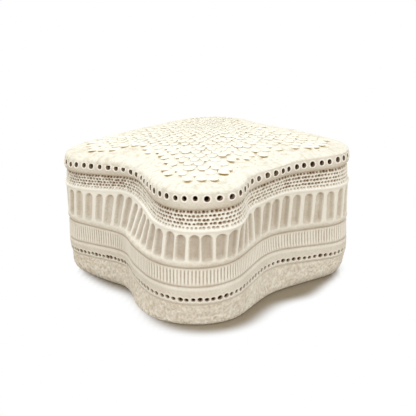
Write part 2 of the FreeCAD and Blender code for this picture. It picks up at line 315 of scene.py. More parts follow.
@dataclass
class Plan:
    """The four-lobed outline of the box, in mm: round lobes, hollow waists between them."""

    lobe_reach: tuple[float, float] = (45.5, 44.6)
    lobe_radius: tuple[float, float] = (18.6, 21.6)
    waist_reach: float = 78.2
    waist_radius: float = 32.9
    softening: float = 2.0
    samples: int = 4096
    arc_points: int = 200
    longest_step: float = 0.2
    length: float = field(init=False)

    def __post_init__(self) -> None:
        """Walk round the arcs and straights and keep even steps of the way."""
        walk = self._walk()
        closed = np.vstack([walk, walk[:1]])
        step = np.hypot(*np.diff(closed, axis=0).T)
        way = np.concatenate([[0.0], np.cumsum(step)])
        even = np.linspace(0.0, way[-1], self.samples, endpoint=False)
        points = np.stack([np.interp(even, way, closed[:, k]) for k in (0, 1)], axis=1)
        wave = np.fft.fftfreq(self.samples, d=way[-1] / self.samples) * 2 * math.pi
        soft = np.exp(-((wave * self.softening) ** 2) / 2)[:, None]
        points = np.real(np.fft.ifft(np.fft.fft(points, axis=0) * soft, axis=0))
        forward = np.roll(points, -1, axis=0) - np.roll(points, 1, axis=0)
        forward /= np.hypot(*forward.T)[:, None]
        self.length = float(way[-1])
        self._table = np.column_stack([points, forward[:, 1], -forward[:, 0]])

    def _walk(self) -> np.ndarray:
        """Walk along the lobes and waists from the middle of the lobe on +X.

        Returns:
            x and y in mm, a row to a point.
        """
        turns = [k * math.pi / 2 for k in range(4)]
        lobes = [
            (self.lobe_reach[k % 2] * np.array([math.cos(a), math.sin(a)]), self.lobe_radius[k % 2])
            for k, a in enumerate(turns)
        ]
        waists = [
            self.waist_reach * np.array([math.cos(a + math.pi / 4), math.sin(a + math.pi / 4)])
            for a in turns
        ]
        pieces: list[np.ndarray] = []
        for k in range(4):
            centre, radius = lobes[k]
            after, after_radius = lobes[(k + 1) % 4]
            enter = self._tangent(centre, radius, waists[k - 1], 1)
            leave = self._tangent(centre, radius, waists[k], -1)
            arrive = self._tangent(after, after_radius, waists[k], 1)
            leave = enter + (leave - enter) % (2 * math.pi)
            arrive = leave - (leave - arrive) % (2 * math.pi)
            pieces.append(self._arc(centre, radius, enter, leave))
            pieces.append(self._arc(waists[k], -self.waist_radius, leave, arrive))
        ring = np.vstack(pieces)
        start = int(np.argmin(np.abs(np.arctan2(ring[:, 1], ring[:, 0]))))
        return self._fill(np.roll(ring, -start, axis=0))

    def _tangent(
        self, centre: np.ndarray, radius: float, waist: np.ndarray, side: int
    ) -> float:
        """Find where the straight that runs to a waist leaves a lobe.

        Args:
            centre: the middle of the lobe's arc.
            radius: its radius.
            waist: the middle of the waist's arc.
            side: 1 or -1, for the straight before or after the lobe.

        Returns:
            The direction from the lobe's middle.
        """
        apart = waist - centre
        reach = math.hypot(*apart)
        return math.atan2(apart[1], apart[0]) + side * math.acos(
            (radius + self.waist_radius) / reach
        )

    def _arc(self, centre: np.ndarray, radius: float, start: float, end: float) -> np.ndarray:
        """Points of an arc; a negative radius gives the far side of the circle."""
        turn = np.linspace(start, end, self.arc_points)[:, None]
        return centre + radius * np.hstack([np.cos(turn), np.sin(turn)])

    def _fill(self, ring: np.ndarray) -> np.ndarray:
        """Put points on the straights of a ring, so that no step is long.

        Args:
            ring: x and y in mm, a row to a point.

        Returns:
            The ring with more points.
        """
        out = []
        for here, there in zip(ring, np.roll(ring, -1, axis=0)):
            count = max(1, int(math.hypot(*(there - here)) / self.longest_step))
            out.append(here + (there - here) * (np.arange(count)[:, None] / count))
        return np.vstack(out)

    def at(self, along: np.ndarray) -> tuple[np.ndarray, ...]:
        """Look up the outline.

        Args:
            along: distance round the outline in mm, any shape.

        Returns:
            x, y, outward normal x and y, and the direction from the middle.
        """
        spot = (np.asarray(along) / self.length * self.samples) % self.samples
        i = np.floor(spot).astype(int) % self.samples
        share = (spot - np.floor(spot))[..., None]
        rows = self._table[i] * (1 - share) + self._table[(i + 1) % self.samples] * share
        x, y, nx, ny = np.moveaxis(rows, -1, 0)
        return x, y, nx, ny, np.arctan2(y, x)

    def place(self, along: np.ndarray, height: np.ndarray, stand: np.ndarray) -> np.ndarray:
        """Put points at a height and a distance out from the outline.

        Args:
            along: distance round the outline in mm.
            height: height over the table in mm.
            stand: distance out from the outline in mm.

        Returns:
            Points in metres, with a last axis of 3.
        """
        x, y, nx, ny, _ = self.at(along)
        return np.stack([x + nx * stand, y + ny * stand, height + 0 * x], axis=-1) * MM


@dataclass(frozen=True)
class Fold:
    """A place where the soft wall was pressed in or pushed out, and how far, in mm."""

    degrees: float
    width: float
    depth: float

    def at(self, turn: np.ndarray) -> np.ndarray:
        """How far the wall moves out in a direction from the middle."""
        away = (np.degrees(turn) - self.degrees + 180.0) % 360.0 - 180.0
        return self.depth * np.exp(-((away / self.width) ** 2))


@dataclass(frozen=True)
class Line:
    """A line tooled round the box by hand, in mm.

    Its height rises by `tilt` towards +X, by `lean` towards +Y and by `dip` at each lobe.
    Its distance out from the plan grows by `shift` towards +X, by `squash` at the lobes on
    X, by `skew` on one diagonal and by `lobe` at each lobe.  `rises` and `folds` are places
    where the hand slipped or pressed.
    """

    height: float
    tilt: float = 0.0
    lean: float = 0.0
    dip: float = 0.0
    stand: float = 0.0
    squash: float = 0.0
    skew: float = 0.0
    shift: float = 0.0
    lobe: float = 0.0
    folds: tuple[Fold, ...] = ()
    rises: tuple[Fold, ...] = ()

    def height_at(self, turn: np.ndarray) -> np.ndarray:
        """Height in a direction from the middle."""
        return (
            self.height
            + self.tilt * np.cos(turn)
            + self.lean * np.sin(turn)
            + self.dip * np.cos(4 * turn)
            + sum(rise.at(turn) for rise in self.rises)
        )

    def stand_at(self, turn: np.ndarray) -> np.ndarray:
        """How far the line stands out from the plan, in a direction from the middle."""
        return (
            self.stand
            + self.squash * np.cos(2 * turn)
            + self.skew * np.sin(2 * turn)
            + self.shift * np.cos(turn)
            + self.lobe * np.cos(4 * turn)
            + sum(fold.at(turn) for fold in self.folds)
        )


PLAN = Plan()
# The table under the wall, where the wet foot spread or was pressed in.
TABLE_LINE = Line(
    0.0, stand=0.2, squash=-0.8, skew=0.5, lobe=-0.7,
    folds=(Fold(-115, 11, 2.8), Fold(-88, 18, -1.5), Fold(-141, 9, -1.2)),
)
FOOT_LINE = Line(
    10.65, lean=-0.6, dip=-1.2, stand=0.5, squash=-0.4, skew=1.2, shift=0.6,
    folds=(Fold(-118, 11, 1.8),),
)
PRICK_LINE = Line(
    17.15, tilt=0.3, lean=-1.4, dip=-1.0, stand=0.6, squash=-0.25, skew=1.6, shift=0.4,
    folds=(Fold(-119, 11, 1.8),),
)
REED_LINE = Line(
    25.6, tilt=-0.1, lean=-0.5, dip=-0.7, stand=0.3, squash=-0.3, skew=2.0, shift=0.4,
    folds=(Fold(-120, 11, 1.7),),
)
LIP = Line(
    44.25, tilt=0.9, lean=1.8, dip=-1.65, stand=-0.9, squash=0.5, skew=-1.3, shift=-0.1,
    lobe=0.6,
    folds=(Fold(-77, 6.5, 2.7), Fold(-63, 5, -1.9), Fold(-46, 9, 0.9), Fold(42, 20, 2.0)),
    rises=(Fold(-140, 10, 0.7),),
)
SEAM = Line(
    51.05, tilt=1.85, lean=1.25, dip=-1.1, stand=-1.4, squash=0.8, skew=-2.0, shift=-0.7,
    lobe=0.5,
    folds=(
        Fold(-76, 6.5, 1.9),
        Fold(-64, 5, -1.5),
        Fold(-46, 9, 1.7),
        Fold(36, 24, 3.6),
        Fold(140, 18, 1.2),
        Fold(180, 14, -0.7),
    ),
    rises=(Fold(-131, 15, 1.4), Fold(-155, 12, 0.4)),
)
# The folds that the lid's two lines share on the right, at the back and on the left.
LID_FOLDS = (Fold(36, 24, 4.4), Fold(140, 18, 1.5), Fold(180, 14, -0.95))
HOLE_LINE = Line(
    54.9, tilt=1.3, lean=0.57, dip=-0.65, stand=-0.6, squash=0.8, skew=-2.1, shift=-0.9,
    lobe=0.3,
    folds=(Fold(-77, 6.5, 2.8), Fold(-64, 5, -1.2), Fold(-46, 10, 2.4), *LID_FOLDS),
    rises=(Fold(-179, 16, -1.3), Fold(-141, 12, 0.4)),
)
SHOULDER = Line(
    56.3, tilt=1.9, lean=0.3, dip=-0.65, stand=-0.8, squash=0.8, skew=-2.1, shift=-0.9,
    lobe=0.3,
    folds=(Fold(-77, 7, 2.4), Fold(-64, 6, -1.2), Fold(-46, 10, 2.2), *LID_FOLDS),
)

WALL = 5.2
FLANGE_GAP = 0.6
FLANGE_THICKNESS = 2.8
LID_INSIDE = -(WALL + FLANGE_GAP)
# Noise over the lid and the floor is read from this far round the middle, so from 0 up.
HALF_SPAN = 80.0


# ---------------------------------------------------------------------------
# Meshes
# ---------------------------------------------------------------------------


class Body(Enum):
    """The two bodies that the pieces ride on."""

    BASE = "base"
    LID = "lid"


MATERIALS: dict[str, bpy.types.Material] = {}


def ring_faces(rows: int, columns: int, closed: bool) -> np.ndarray:
    """Quads of a grid whose columns close round the box.

    Args:
        rows: rings of points.
        columns: points in a ring.
        closed: whether the last ring joins the first.

    Returns:
        Vertex numbers, four to a face.
    """
    low = np.arange(rows if closed else rows - 1)[:, None]
    col = np.arange(columns)[None, :]
    high, after = (low + 1) % rows, (col + 1) % columns
    corners = (
        low * columns + col,
        low * columns + after,
        high * columns + after,
        high * columns + col,
    )
    return np.stack(np.broadcast_arrays(*corners), axis=-1).reshape(-1, 4)


def grid_faces(index: np.ndarray) -> np.ndarray:
    """Quads of an open grid.

    Args:
        index: vertex numbers, in rows and columns.

    Returns:
        Vertex numbers, four to a face.
    """
    corners = [index[:-1, :-1], index[1:, :-1], index[1:, 1:], index[:-1, 1:]]
    return np.stack(corners, -1).reshape(-1, 4)


def bridge(first: np.ndarray, second: np.ndarray) -> np.ndarray:
    """Quads between two closed rings of equally many points; one point repeated makes a fan."""
    return np.stack([first, np.roll(first, -1), np.roll(second, -1), second], 1)


def build_mesh(
    name: str,
    points: np.ndarray,
    faces: np.ndarray,
    wash_and_shade: np.ndarray,
    crease_degrees: float = 50.0,
) -> bpy.types.Object:
    """Make an object from arrays.

    Args:
        name: the object's name.
        points: vertices in metres.
        faces: vertex numbers, four to a face; a repeated last number makes a triangle.
        wash_and_shade: how dark each vertex is painted, by wash and painted shade, 1 where it is full
        and 2 where it is near black, or below 0 how far it is painted pale, by wear and
        painted highlight.
        crease_degrees: edges sharper than this stay sharp.

    Returns:
        The object, linked to the scene.
    """
    triangle = faces[:, 2] == faces[:, 3]
    counts = np.where(triangle, 3, 4)
    keep = np.ones(4 * len(faces), dtype=bool)
    keep[3::4] = ~triangle
    loops = faces.reshape(-1)[keep]
    starts = np.concatenate([[0], np.cumsum(counts)[:-1]])
    mesh = bpy.data.meshes.new(name)
    mesh.vertices.add(len(points))
    mesh.vertices.foreach_set("co", points.reshape(-1).astype(np.float32))
    mesh.loops.add(len(loops))
    mesh.loops.foreach_set("vertex_index", loops.astype(np.int32))
    mesh.polygons.add(len(faces))
    mesh.polygons.foreach_set("loop_start", starts.astype(np.int32))
    mesh.update(calc_edges=True)
    layer = mesh.attributes.new("wash_and_shade", "FLOAT", "POINT")
    layer.data.foreach_set("value", np.clip(wash_and_shade, -1.0, 2.0).reshape(-1).astype(np.float32))
    mesh.validate()
    mesh.shade_smooth()
    mesh.set_sharp_from_angle(angle=math.radians(crease_degrees))
    item = bpy.data.objects.new(name, mesh)
    bpy.context.scene.collection.objects.link(item)
    return item


def dress(item: bpy.types.Object, node: str, body: Body, finish: Stoneware) -> bpy.types.Object:
    """Give a piece its clay and its body, and hide the solid that it stands for.

    Args:
        item: the piece.
        node: the solid.
        body: the body that the piece rides on.
        finish: its clay.

    Returns:
        The same piece.
    """
    item.data.materials.append(MATERIALS[finish.name])
    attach(item, body.value)
    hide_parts(node)
    return item


class Shell:
    """The points, washes and faces of one piece while they are gathered."""

    def __init__(self) -> None:
        """Start with nothing."""
        self.points: list[np.ndarray] = []
        self.washes_and_shade: list[np.ndarray] = []
        self.faces: list[np.ndarray] = []
        self.count = 0

    def add(self, points: np.ndarray, wash_and_shade: np.ndarray | float = 0.0) -> int:
        """Add points.

        Args:
            points: places in metres, with a last axis of 3.
            wash_and_shade: their wash and painted shade, or one value for all of them.

        Returns:
            The number of the first of them.
        """
        first = self.count
        self.points.append(points.reshape(-1, 3))
        self.washes_and_shade.append(np.broadcast_to(wash_and_shade, points.shape[:-1]).reshape(-1))
        self.count += len(self.points[-1])
        return first

    def join(self, first: np.ndarray, second: np.ndarray) -> np.ndarray:
        """Put faces between two rings and return the second, to go on from."""
        self.faces.append(bridge(first, second))
        return second

    def build(self, name: str) -> bpy.types.Object:
        """Make the object."""
        arrays = (np.vstack(self.points), np.vstack(self.faces), np.concatenate(self.washes_and_shade))
        return build_mesh(name, *arrays)


# ---------------------------------------------------------------------------
# The wall
# ---------------------------------------------------------------------------

# A tooled line's half-width, and how far from it its burr of pushed-up clay stands.
LINE_WIDTH = 0.5
BURR_AT = 1.1


@dataclass(frozen=True)
class Face:
    """Places on a course's outer face.

    `along` is the distance round the box and `up` the height over the lower line, `tall`
    is the course's height there, all in mm, and `turn` is the direction from the middle.
    """

    along: np.ndarray
    up: np.ndarray
    tall: np.ndarray
    turn: np.ndarray


@dataclass
class Course:
    """One course of the wall: a closed ring between two lines, tooled on its outer face."""

    node: str
    lower: Line
    upper: Line
    finish: Stoneware
    columns: int
    rows: int
    seed: int

    def relief(self, face: Face) -> tuple[np.ndarray, np.ndarray]:
        """Tooling on the outer face: none, unless a course has its own.

        Args:
            face: places on the outer face.

        Returns:
            How far each place moves out, in mm, and its wash and painted shade.
        """
        return np.zeros_like(face.along), np.zeros_like(face.along)

    def share(self) -> np.ndarray:
        """Where the rows of the outer face lie, from 0 to 1."""
        return np.linspace(0.0, 1.0, self.rows)

    def outer(self) -> tuple[np.ndarray, np.ndarray, np.ndarray, np.ndarray]:
        """Rows of the outer face, from the lower line to the upper one.

        Returns:
            Distance round the box, height and distance out, all in mm, and wash and painted shade.
        """
        along = np.linspace(0.0, PLAN.length, self.columns, endpoint=False)[None, :]
        share = self.share()[:, None]
        turn = PLAN.at(along)[4]
        low, high = self.lower.height_at(turn), self.upper.height_at(turn)
        tall = (high - low) + 0 * share
        up = tall * share
        along = along + 0 * share
        out, wash_and_shade = self.relief(Face(along, up, tall, turn + 0 * share))
        stand = self.lower.stand_at(turn) * (1 - share) + self.upper.stand_at(turn) * share
        return along, low + up, stand + out, wash_and_shade

    def build(self) -> bpy.types.Object:
        """Make the ring, whose inner face is a little uneven, and dress it.

        Returns:
            The piece.
        """
        along, height, stand, wash_and_shade = self.outer()
        drop = np.array([0.0, 0.5, 1.0])[:, None]
        inner_height = height[-1:] * (1 - drop) + height[:1] * drop
        unevenness = Grain(self.seed + 90, PLAN.length, 9.0, 80.0)
        inner_stand = -WALL - 0.15 * (1 + unevenness(along[:3], inner_height))
        points = PLAN.place(
            np.vstack([along, along[:3]]),
            np.vstack([height, inner_height]),
            np.vstack([stand, inner_stand]),
        )
        faces = ring_faces(len(points), self.columns, closed=True)
        washes_and_shade = np.vstack([wash_and_shade, 0 * inner_height])
        item = build_mesh(f"{self.node}_clay", points.reshape(-1, 3), faces, washes_and_shade)
        return dress(item, self.node, Body.BASE, self.finish)


def incised(face: Face, below: float, above: float) -> tuple[np.ndarray, np.ndarray]:
    """The two halves of the tooled lines at a course's edges.

    Args:
        face: places on the outer face.
        below: depth of the line at the bottom of the course in mm.
        above: depth of the line at its top in mm.

    Returns:
        The cut, in mm outwards, and the wash and painted shade in it, paler on the burr.
    """
    up, down = face.up, face.tall - face.up
    cut = below * bead(up, LINE_WIDTH) + above * bead(down, LINE_WIDTH)
    burr = 0.14 * (below * bead(up - BURR_AT, 0.45) + above * bead(down - BURR_AT, 0.45))
    # The lines painted darker, as wash and painted shade, and their burrs paler, as painted highlight.
    wash_and_shade = 0.85 * (below * bead(up, 0.33) + above * bead(down, 0.33))
    return burr - cut, wash_and_shade - 5.0 * burr


def nearest(along: np.ndarray, where: np.ndarray) -> tuple[np.ndarray, np.ndarray]:
    """Find the nearest of some marks that lie round the box.

    Args:
        along: distances round the box in mm.
        where: the marks' distances round the box in mm, in any order.

    Returns:
        For each distance, the index of its mark, and how far past the mark it is in mm.
    """
    around = PLAN.length
    order = np.argsort(where % around)
    marks = (where % around)[order]
    padded = np.concatenate([[marks[-1] - around], marks, [marks[0] + around]])
    middles = (padded[1:] + padded[:-1]) / 2
    slot = np.searchsorted(middles, along % around) - 1
    near = order[slot % len(marks)]
    return near, (along - where[near] + around / 2) % around - around / 2


@dataclass
class FootCourse(Course):
    """The rough bottom course, which curves under to the table.

    The curve is deepest and tallest at the two lobes on X: `curve_in` and `curve_up` hold
    the mean and the swing of each in mm.  `lumps` and `dabs` are the hand's and the stiff
    brush's marks: how far apart, and how high, in mm.
    """

    under: int = 10
    lumps: tuple[float, float] = (2.2, 0.12)
    dabs: tuple[float, float] = (0.7, 0.24)
    curve_in: tuple[float, float] = (2.6, 1.0)
    curve_up: tuple[float, float] = (3.6, 1.6)

    def outer(self) -> tuple[np.ndarray, np.ndarray, np.ndarray, np.ndarray]:
        """Rows from the table round the curve and up to the line over the foot.

        Returns:
            Distance round the box, height and distance out, all in mm, and wash and painted shade.
        """
        along = np.linspace(0.0, PLAN.length, self.columns, endpoint=False)[None, :]
        turn = PLAN.at(along)[4]
        deep, tall = (
            mean + swing * np.cos(2 * turn) for mean, swing in (self.curve_in, self.curve_up)
        )
        bend = np.linspace(0.0, math.pi / 2, self.under)[:, None]
        top = self.upper.height_at(turn)
        climb = np.linspace(0.0, 1.0, self.rows)[1:, None]
        height = np.vstack([tall * (1 - np.cos(bend)), tall + (top - tall) * climb])
        curve = np.vstack([-deep * (1 - np.sin(bend)), 0 * climb * turn])
        share = height / top
        spread = self.lower.stand_at(turn)
        stand = (self.upper.stand_at(turn) - 0.4) * share + spread * (1 - share)
        along = along + 0 * height
        lumps = Grain(self.seed, PLAN.length, self.lumps[0], 16.0)(along, height)
        dabs = Grain(self.seed + 1, PLAN.length, self.dabs[0], 16.0)(along, height)
        fade = ease(0.15, 1.2, height) * ease(0.2, 1.2, top - height)
        rough = (self.lumps[1] * lumps + self.dabs[1] * dabs) * fade
        line = bead(top - height, 0.45)
        # Painted shade in the dips of the dabs and painted highlight on their tops; the line over the
        # foot painted darker.
        tone = 0.22 * ease(0.1, 0.8, -dabs) * fade - 0.6 * ease(0.1, 0.8, dabs) * fade
        return along, height, stand + curve + rough - 0.3 * line, tone + 0.4 * line


@dataclass
class PrickedCourse(Course):
    """The plain course with a row of needle pricks."""

    pricks: int = 147
    prick_up: float = 0.28
    prick_half: tuple[float, float] = (1.0, 0.86)
    prick_depth: float = 2.1
    drift: float = 5.0

    def share(self) -> np.ndarray:
        """Close rows across the pricks, wider ones above."""
        return np.concatenate([np.linspace(0.0, 0.5, self.rows - 8), np.linspace(0.5, 1.0, 9)[1:]])

    def relief(self, face: Face) -> tuple[np.ndarray, np.ndarray]:
        """Pricks near the foot line, and the lines above and below.

        Args:
            face: places on the outer face.

        Returns:
            How far each place moves out, in mm, and its wash and painted shade.
        """
        out, wash_and_shade = incised(face, 0.25, 0.5)
        rng = np.random.default_rng(self.seed)
        number = np.arange(self.pricks)
        where = number * (PLAN.length / self.pricks) + rng.uniform(-0.22, 0.22, self.pricks)
        where += self.drift * np.sin(number / self.pricks * 2 * math.pi)
        lift = rng.uniform(-0.12, 0.12, self.pricks)
        size = rng.uniform(0.85, 1.15, self.pricks)
        near, dx = nearest(face.along, where)
        dy = face.up - face.tall * self.prick_up - lift[near]
        half_x, half_y = self.prick_half
        r = np.hypot(dx / (half_x * size[near]), dy / (half_y * size[near]))
        hole = 1 - ease(0.5, 1.05, r)
        ring = bead(r - 1.35, 0.3)
        uneven = Grain(self.seed + 4, PLAN.length, 1.6, 12.0)
        out += 0.07 * bead(face.up - face.tall * 0.75, 1.8) + 0.04 * uneven(face.along, face.up)
        # The pricks painted dark, near black at their middles, as painted shade; the ring round each
        # painted paler, as painted highlight.
        tone = np.where(hole > 0.02, 1.6 * hole, wash_and_shade - 0.35 * ring)
        return out - self.prick_depth * hole + 0.08 * ring, tone


@dataclass
class ReededCourse(Course):
    """The course of fine upright reeds between two deep lines."""

    reeds: int = 262
    reed_depth: float = 0.62

    def relief(self, face: Face) -> tuple[np.ndarray, np.ndarray]:
        """Rounded reeds that start under the upper line and fade out at the lower one.

        Args:
            face: places on the outer face.

        Returns:
            How far each place moves out, in mm, and its wash and painted shade.
        """
        out, wash_and_shade = incised(face, 0.5, 0.55)
        rng = np.random.default_rng(self.seed)
        wander = Grain(self.seed + 3, PLAN.length, 9.0, 12.0)
        phase = face.along / PLAN.length * self.reeds + 0.12 * wander(face.along, face.up)
        reed = np.floor(phase).astype(int) % self.reeds
        depth = rng.uniform(0.75, 1.25, self.reeds)[reed]
        across = np.abs(np.sin(math.pi * phase))
        fade = ease(0.5, 1.3, face.tall - face.up) * ease(0.3, 2.0, face.up)
        cut = (1 - across) ** 1.2 * depth * fade
        crest = ease(0.45, 1.0, across) * fade
        # The grooves painted darker and the crests paler: painted shade and painted highlight along
        # the reeds.
        return out - self.reed_depth * cut, np.maximum(wash_and_shade, 0.0) + 0.26 * cut - 0.7 * crest


@dataclass
class FlutedCourse(Course):
    """The tall course of round-topped niches under the lip."""

    flutes: int = 68
    half_share: float = 0.40
    flute_depth: float = 1.9
    drift: float = 2.2
    floor_up: float = 2.5
    head_down: float = 1.7
    ledge_up: float = 1.7

    def relief(self, face: Face) -> tuple[np.ndarray, np.ndarray]:
        """Niches cut with a round gouge: arched at the top, scooped out at the bottom.

        Args:
            face: places on the outer face.

        Returns:
            How far each place moves out, in mm, and its wash and painted shade.
        """
        up, tall = face.up, face.tall
        out, wash_and_shade = incised(face, 0.55, 0.0)
        rng = np.random.default_rng(self.seed)
        pitch = PLAN.length / self.flutes
        number = np.arange(self.flutes)
        where = number * pitch + rng.uniform(-0.25, 0.25, self.flutes)
        where += self.drift * np.sin(4 * math.pi * number / self.flutes)
        near, dx = nearest(face.along, where)
        half = (self.half_share * pitch * rng.uniform(0.92, 1.06, self.flutes))[near]
        lean = rng.uniform(-0.05, 0.05, self.flutes)[near]
        floor_at = (self.floor_up + rng.uniform(-0.3, 0.3, self.flutes))[near]
        head = tall - self.head_down + rng.uniform(-0.35, 0.35, self.flutes)[near]
        dx = dx + lean * (up - tall / 2)
        # Distances inside the arched head and the rounded foot of each niche.
        over = np.maximum(up - (head - half * 0.9), 0.0) / 0.9
        under = np.maximum(floor_at + half * 0.55 - up, 0.0)
        edge = half - np.hypot(dx, over)
        foot = half - np.hypot(np.maximum(np.abs(dx) - 0.45 * half, 0.0), under) - 0.45 * half
        inside = np.minimum(edge, np.where(under > 0, foot, edge))
        scooped = ease(0.0, 0.9, inside) * ease(floor_at - 0.4, floor_at + 1.8, up)
        bowl = 1.0 - 0.2 * (dx / half) ** 2
        ledge = bead(up - self.ledge_up - 0.35 * np.abs(dx) / half, 0.75)
        lip = bead(tall - up - 0.2, 0.8)
        rib = (1 - ease(-0.2, 0.35, inside)) * ease(2.0, 3.5, up) * ease(0.5, 1.5, tall - up)
        arch = bead(inside - 0.35, 0.28) * ease(head - half, head, up)
        marks = Grain(self.seed + 7, PLAN.length, 2.4, 24.0)(face.along, up)
        # Painted shade on the niche floors, darkest at the front and back lobes and lightest at the
        # two on X, as the light falls on each side; painted shade under each arch, and the ribs, the
        # ledge and the lip painted paler as painted highlight.
        floor_shade_by_side = 0.17 - 0.11 * np.cos(2 * face.turn)
        tone = np.maximum(wash_and_shade, 0.0) + (floor_shade_by_side + 0.07 * marks) * scooped + 0.12 * arch
        tone -= 0.65 * rib + 0.1 * ledge * (1 - 0.8 * scooped) + 1.0 * lip
        out += 0.35 * ledge * (1 - scooped) + 0.7 * lip + 0.15 * rib
        return out - self.flute_depth * scooped * bowl + 0.07 * marks, tone


@dataclass
class DimpledCourse(Course):
    """The course of small pits, in staggered rows, from the lip in to the seam."""

    pits_round: int = 226
    pit_rows: int = 5
    first_row: float = 0.12
    last_row: float = 0.9
    pit_half: tuple[float, float] = (0.82, 0.6)
    pit_depth: float = 0.95

    def relief(self, face: Face) -> tuple[np.ndarray, np.ndarray]:
        """Pits pushed in with a pointed stick, none of them quite alike.

        Args:
            face: places on the outer face.

        Returns:
            How far each place moves out, in mm, and its wash and painted shade.
        """
        out, wash_and_shade = incised(face, 0.0, 0.3)
        rng = np.random.default_rng(self.seed)
        pitch = PLAN.length / self.pits_round
        half_x, half_y = self.pit_half
        pits = np.zeros_like(face.along)
        tone = np.zeros_like(face.along)
        for row in range(self.pit_rows):
            shift = rng.uniform(-0.2, 0.2, (3, self.pits_round))
            size = rng.uniform(0.84, 1.16, self.pits_round)
            where = (np.arange(self.pits_round) + 0.5 * (row % 2)) * pitch + shift[0]
            near, dx = nearest(face.along, where)
            step = (self.last_row - self.first_row) * row / (self.pit_rows - 1)
            dy = face.up - face.tall * (self.first_row + step) - shift[1][near] * 0.45
            r = np.hypot(dx / (half_x * size[near]), dy / (half_y * size[near]))
            pits = np.maximum(pits, 1 - ease(0.3, 1.15, r))
            tone = np.maximum(tone, (0.85 + 0.9 * shift[2][near]) * (1 - ease(0.4, 1.05, r)))
        lip = bead(face.up - 0.1, 0.8)
        under_seam = bead(face.tall - face.up, 1.3)
        walls = (1 - ease(0.0, 0.35, pits)) * (1 - under_seam)
        out += 0.7 * lip - 0.25 * under_seam - self.pit_depth * pits * (1 - 0.6 * lip)
        # The pits painted darker, the walls between them and the lip paler, and the band under the
        # seam darker: painted shade and painted highlight.
        tone = tone * (1 - 0.55 * lip) - 0.8 * walls - 0.9 * lip + 0.14 * under_seam
        return out, tone + np.maximum(wash_and_shade, 0.0)


# ---------------------------------------------------------------------------
# The lid
# ---------------------------------------------------------------------------


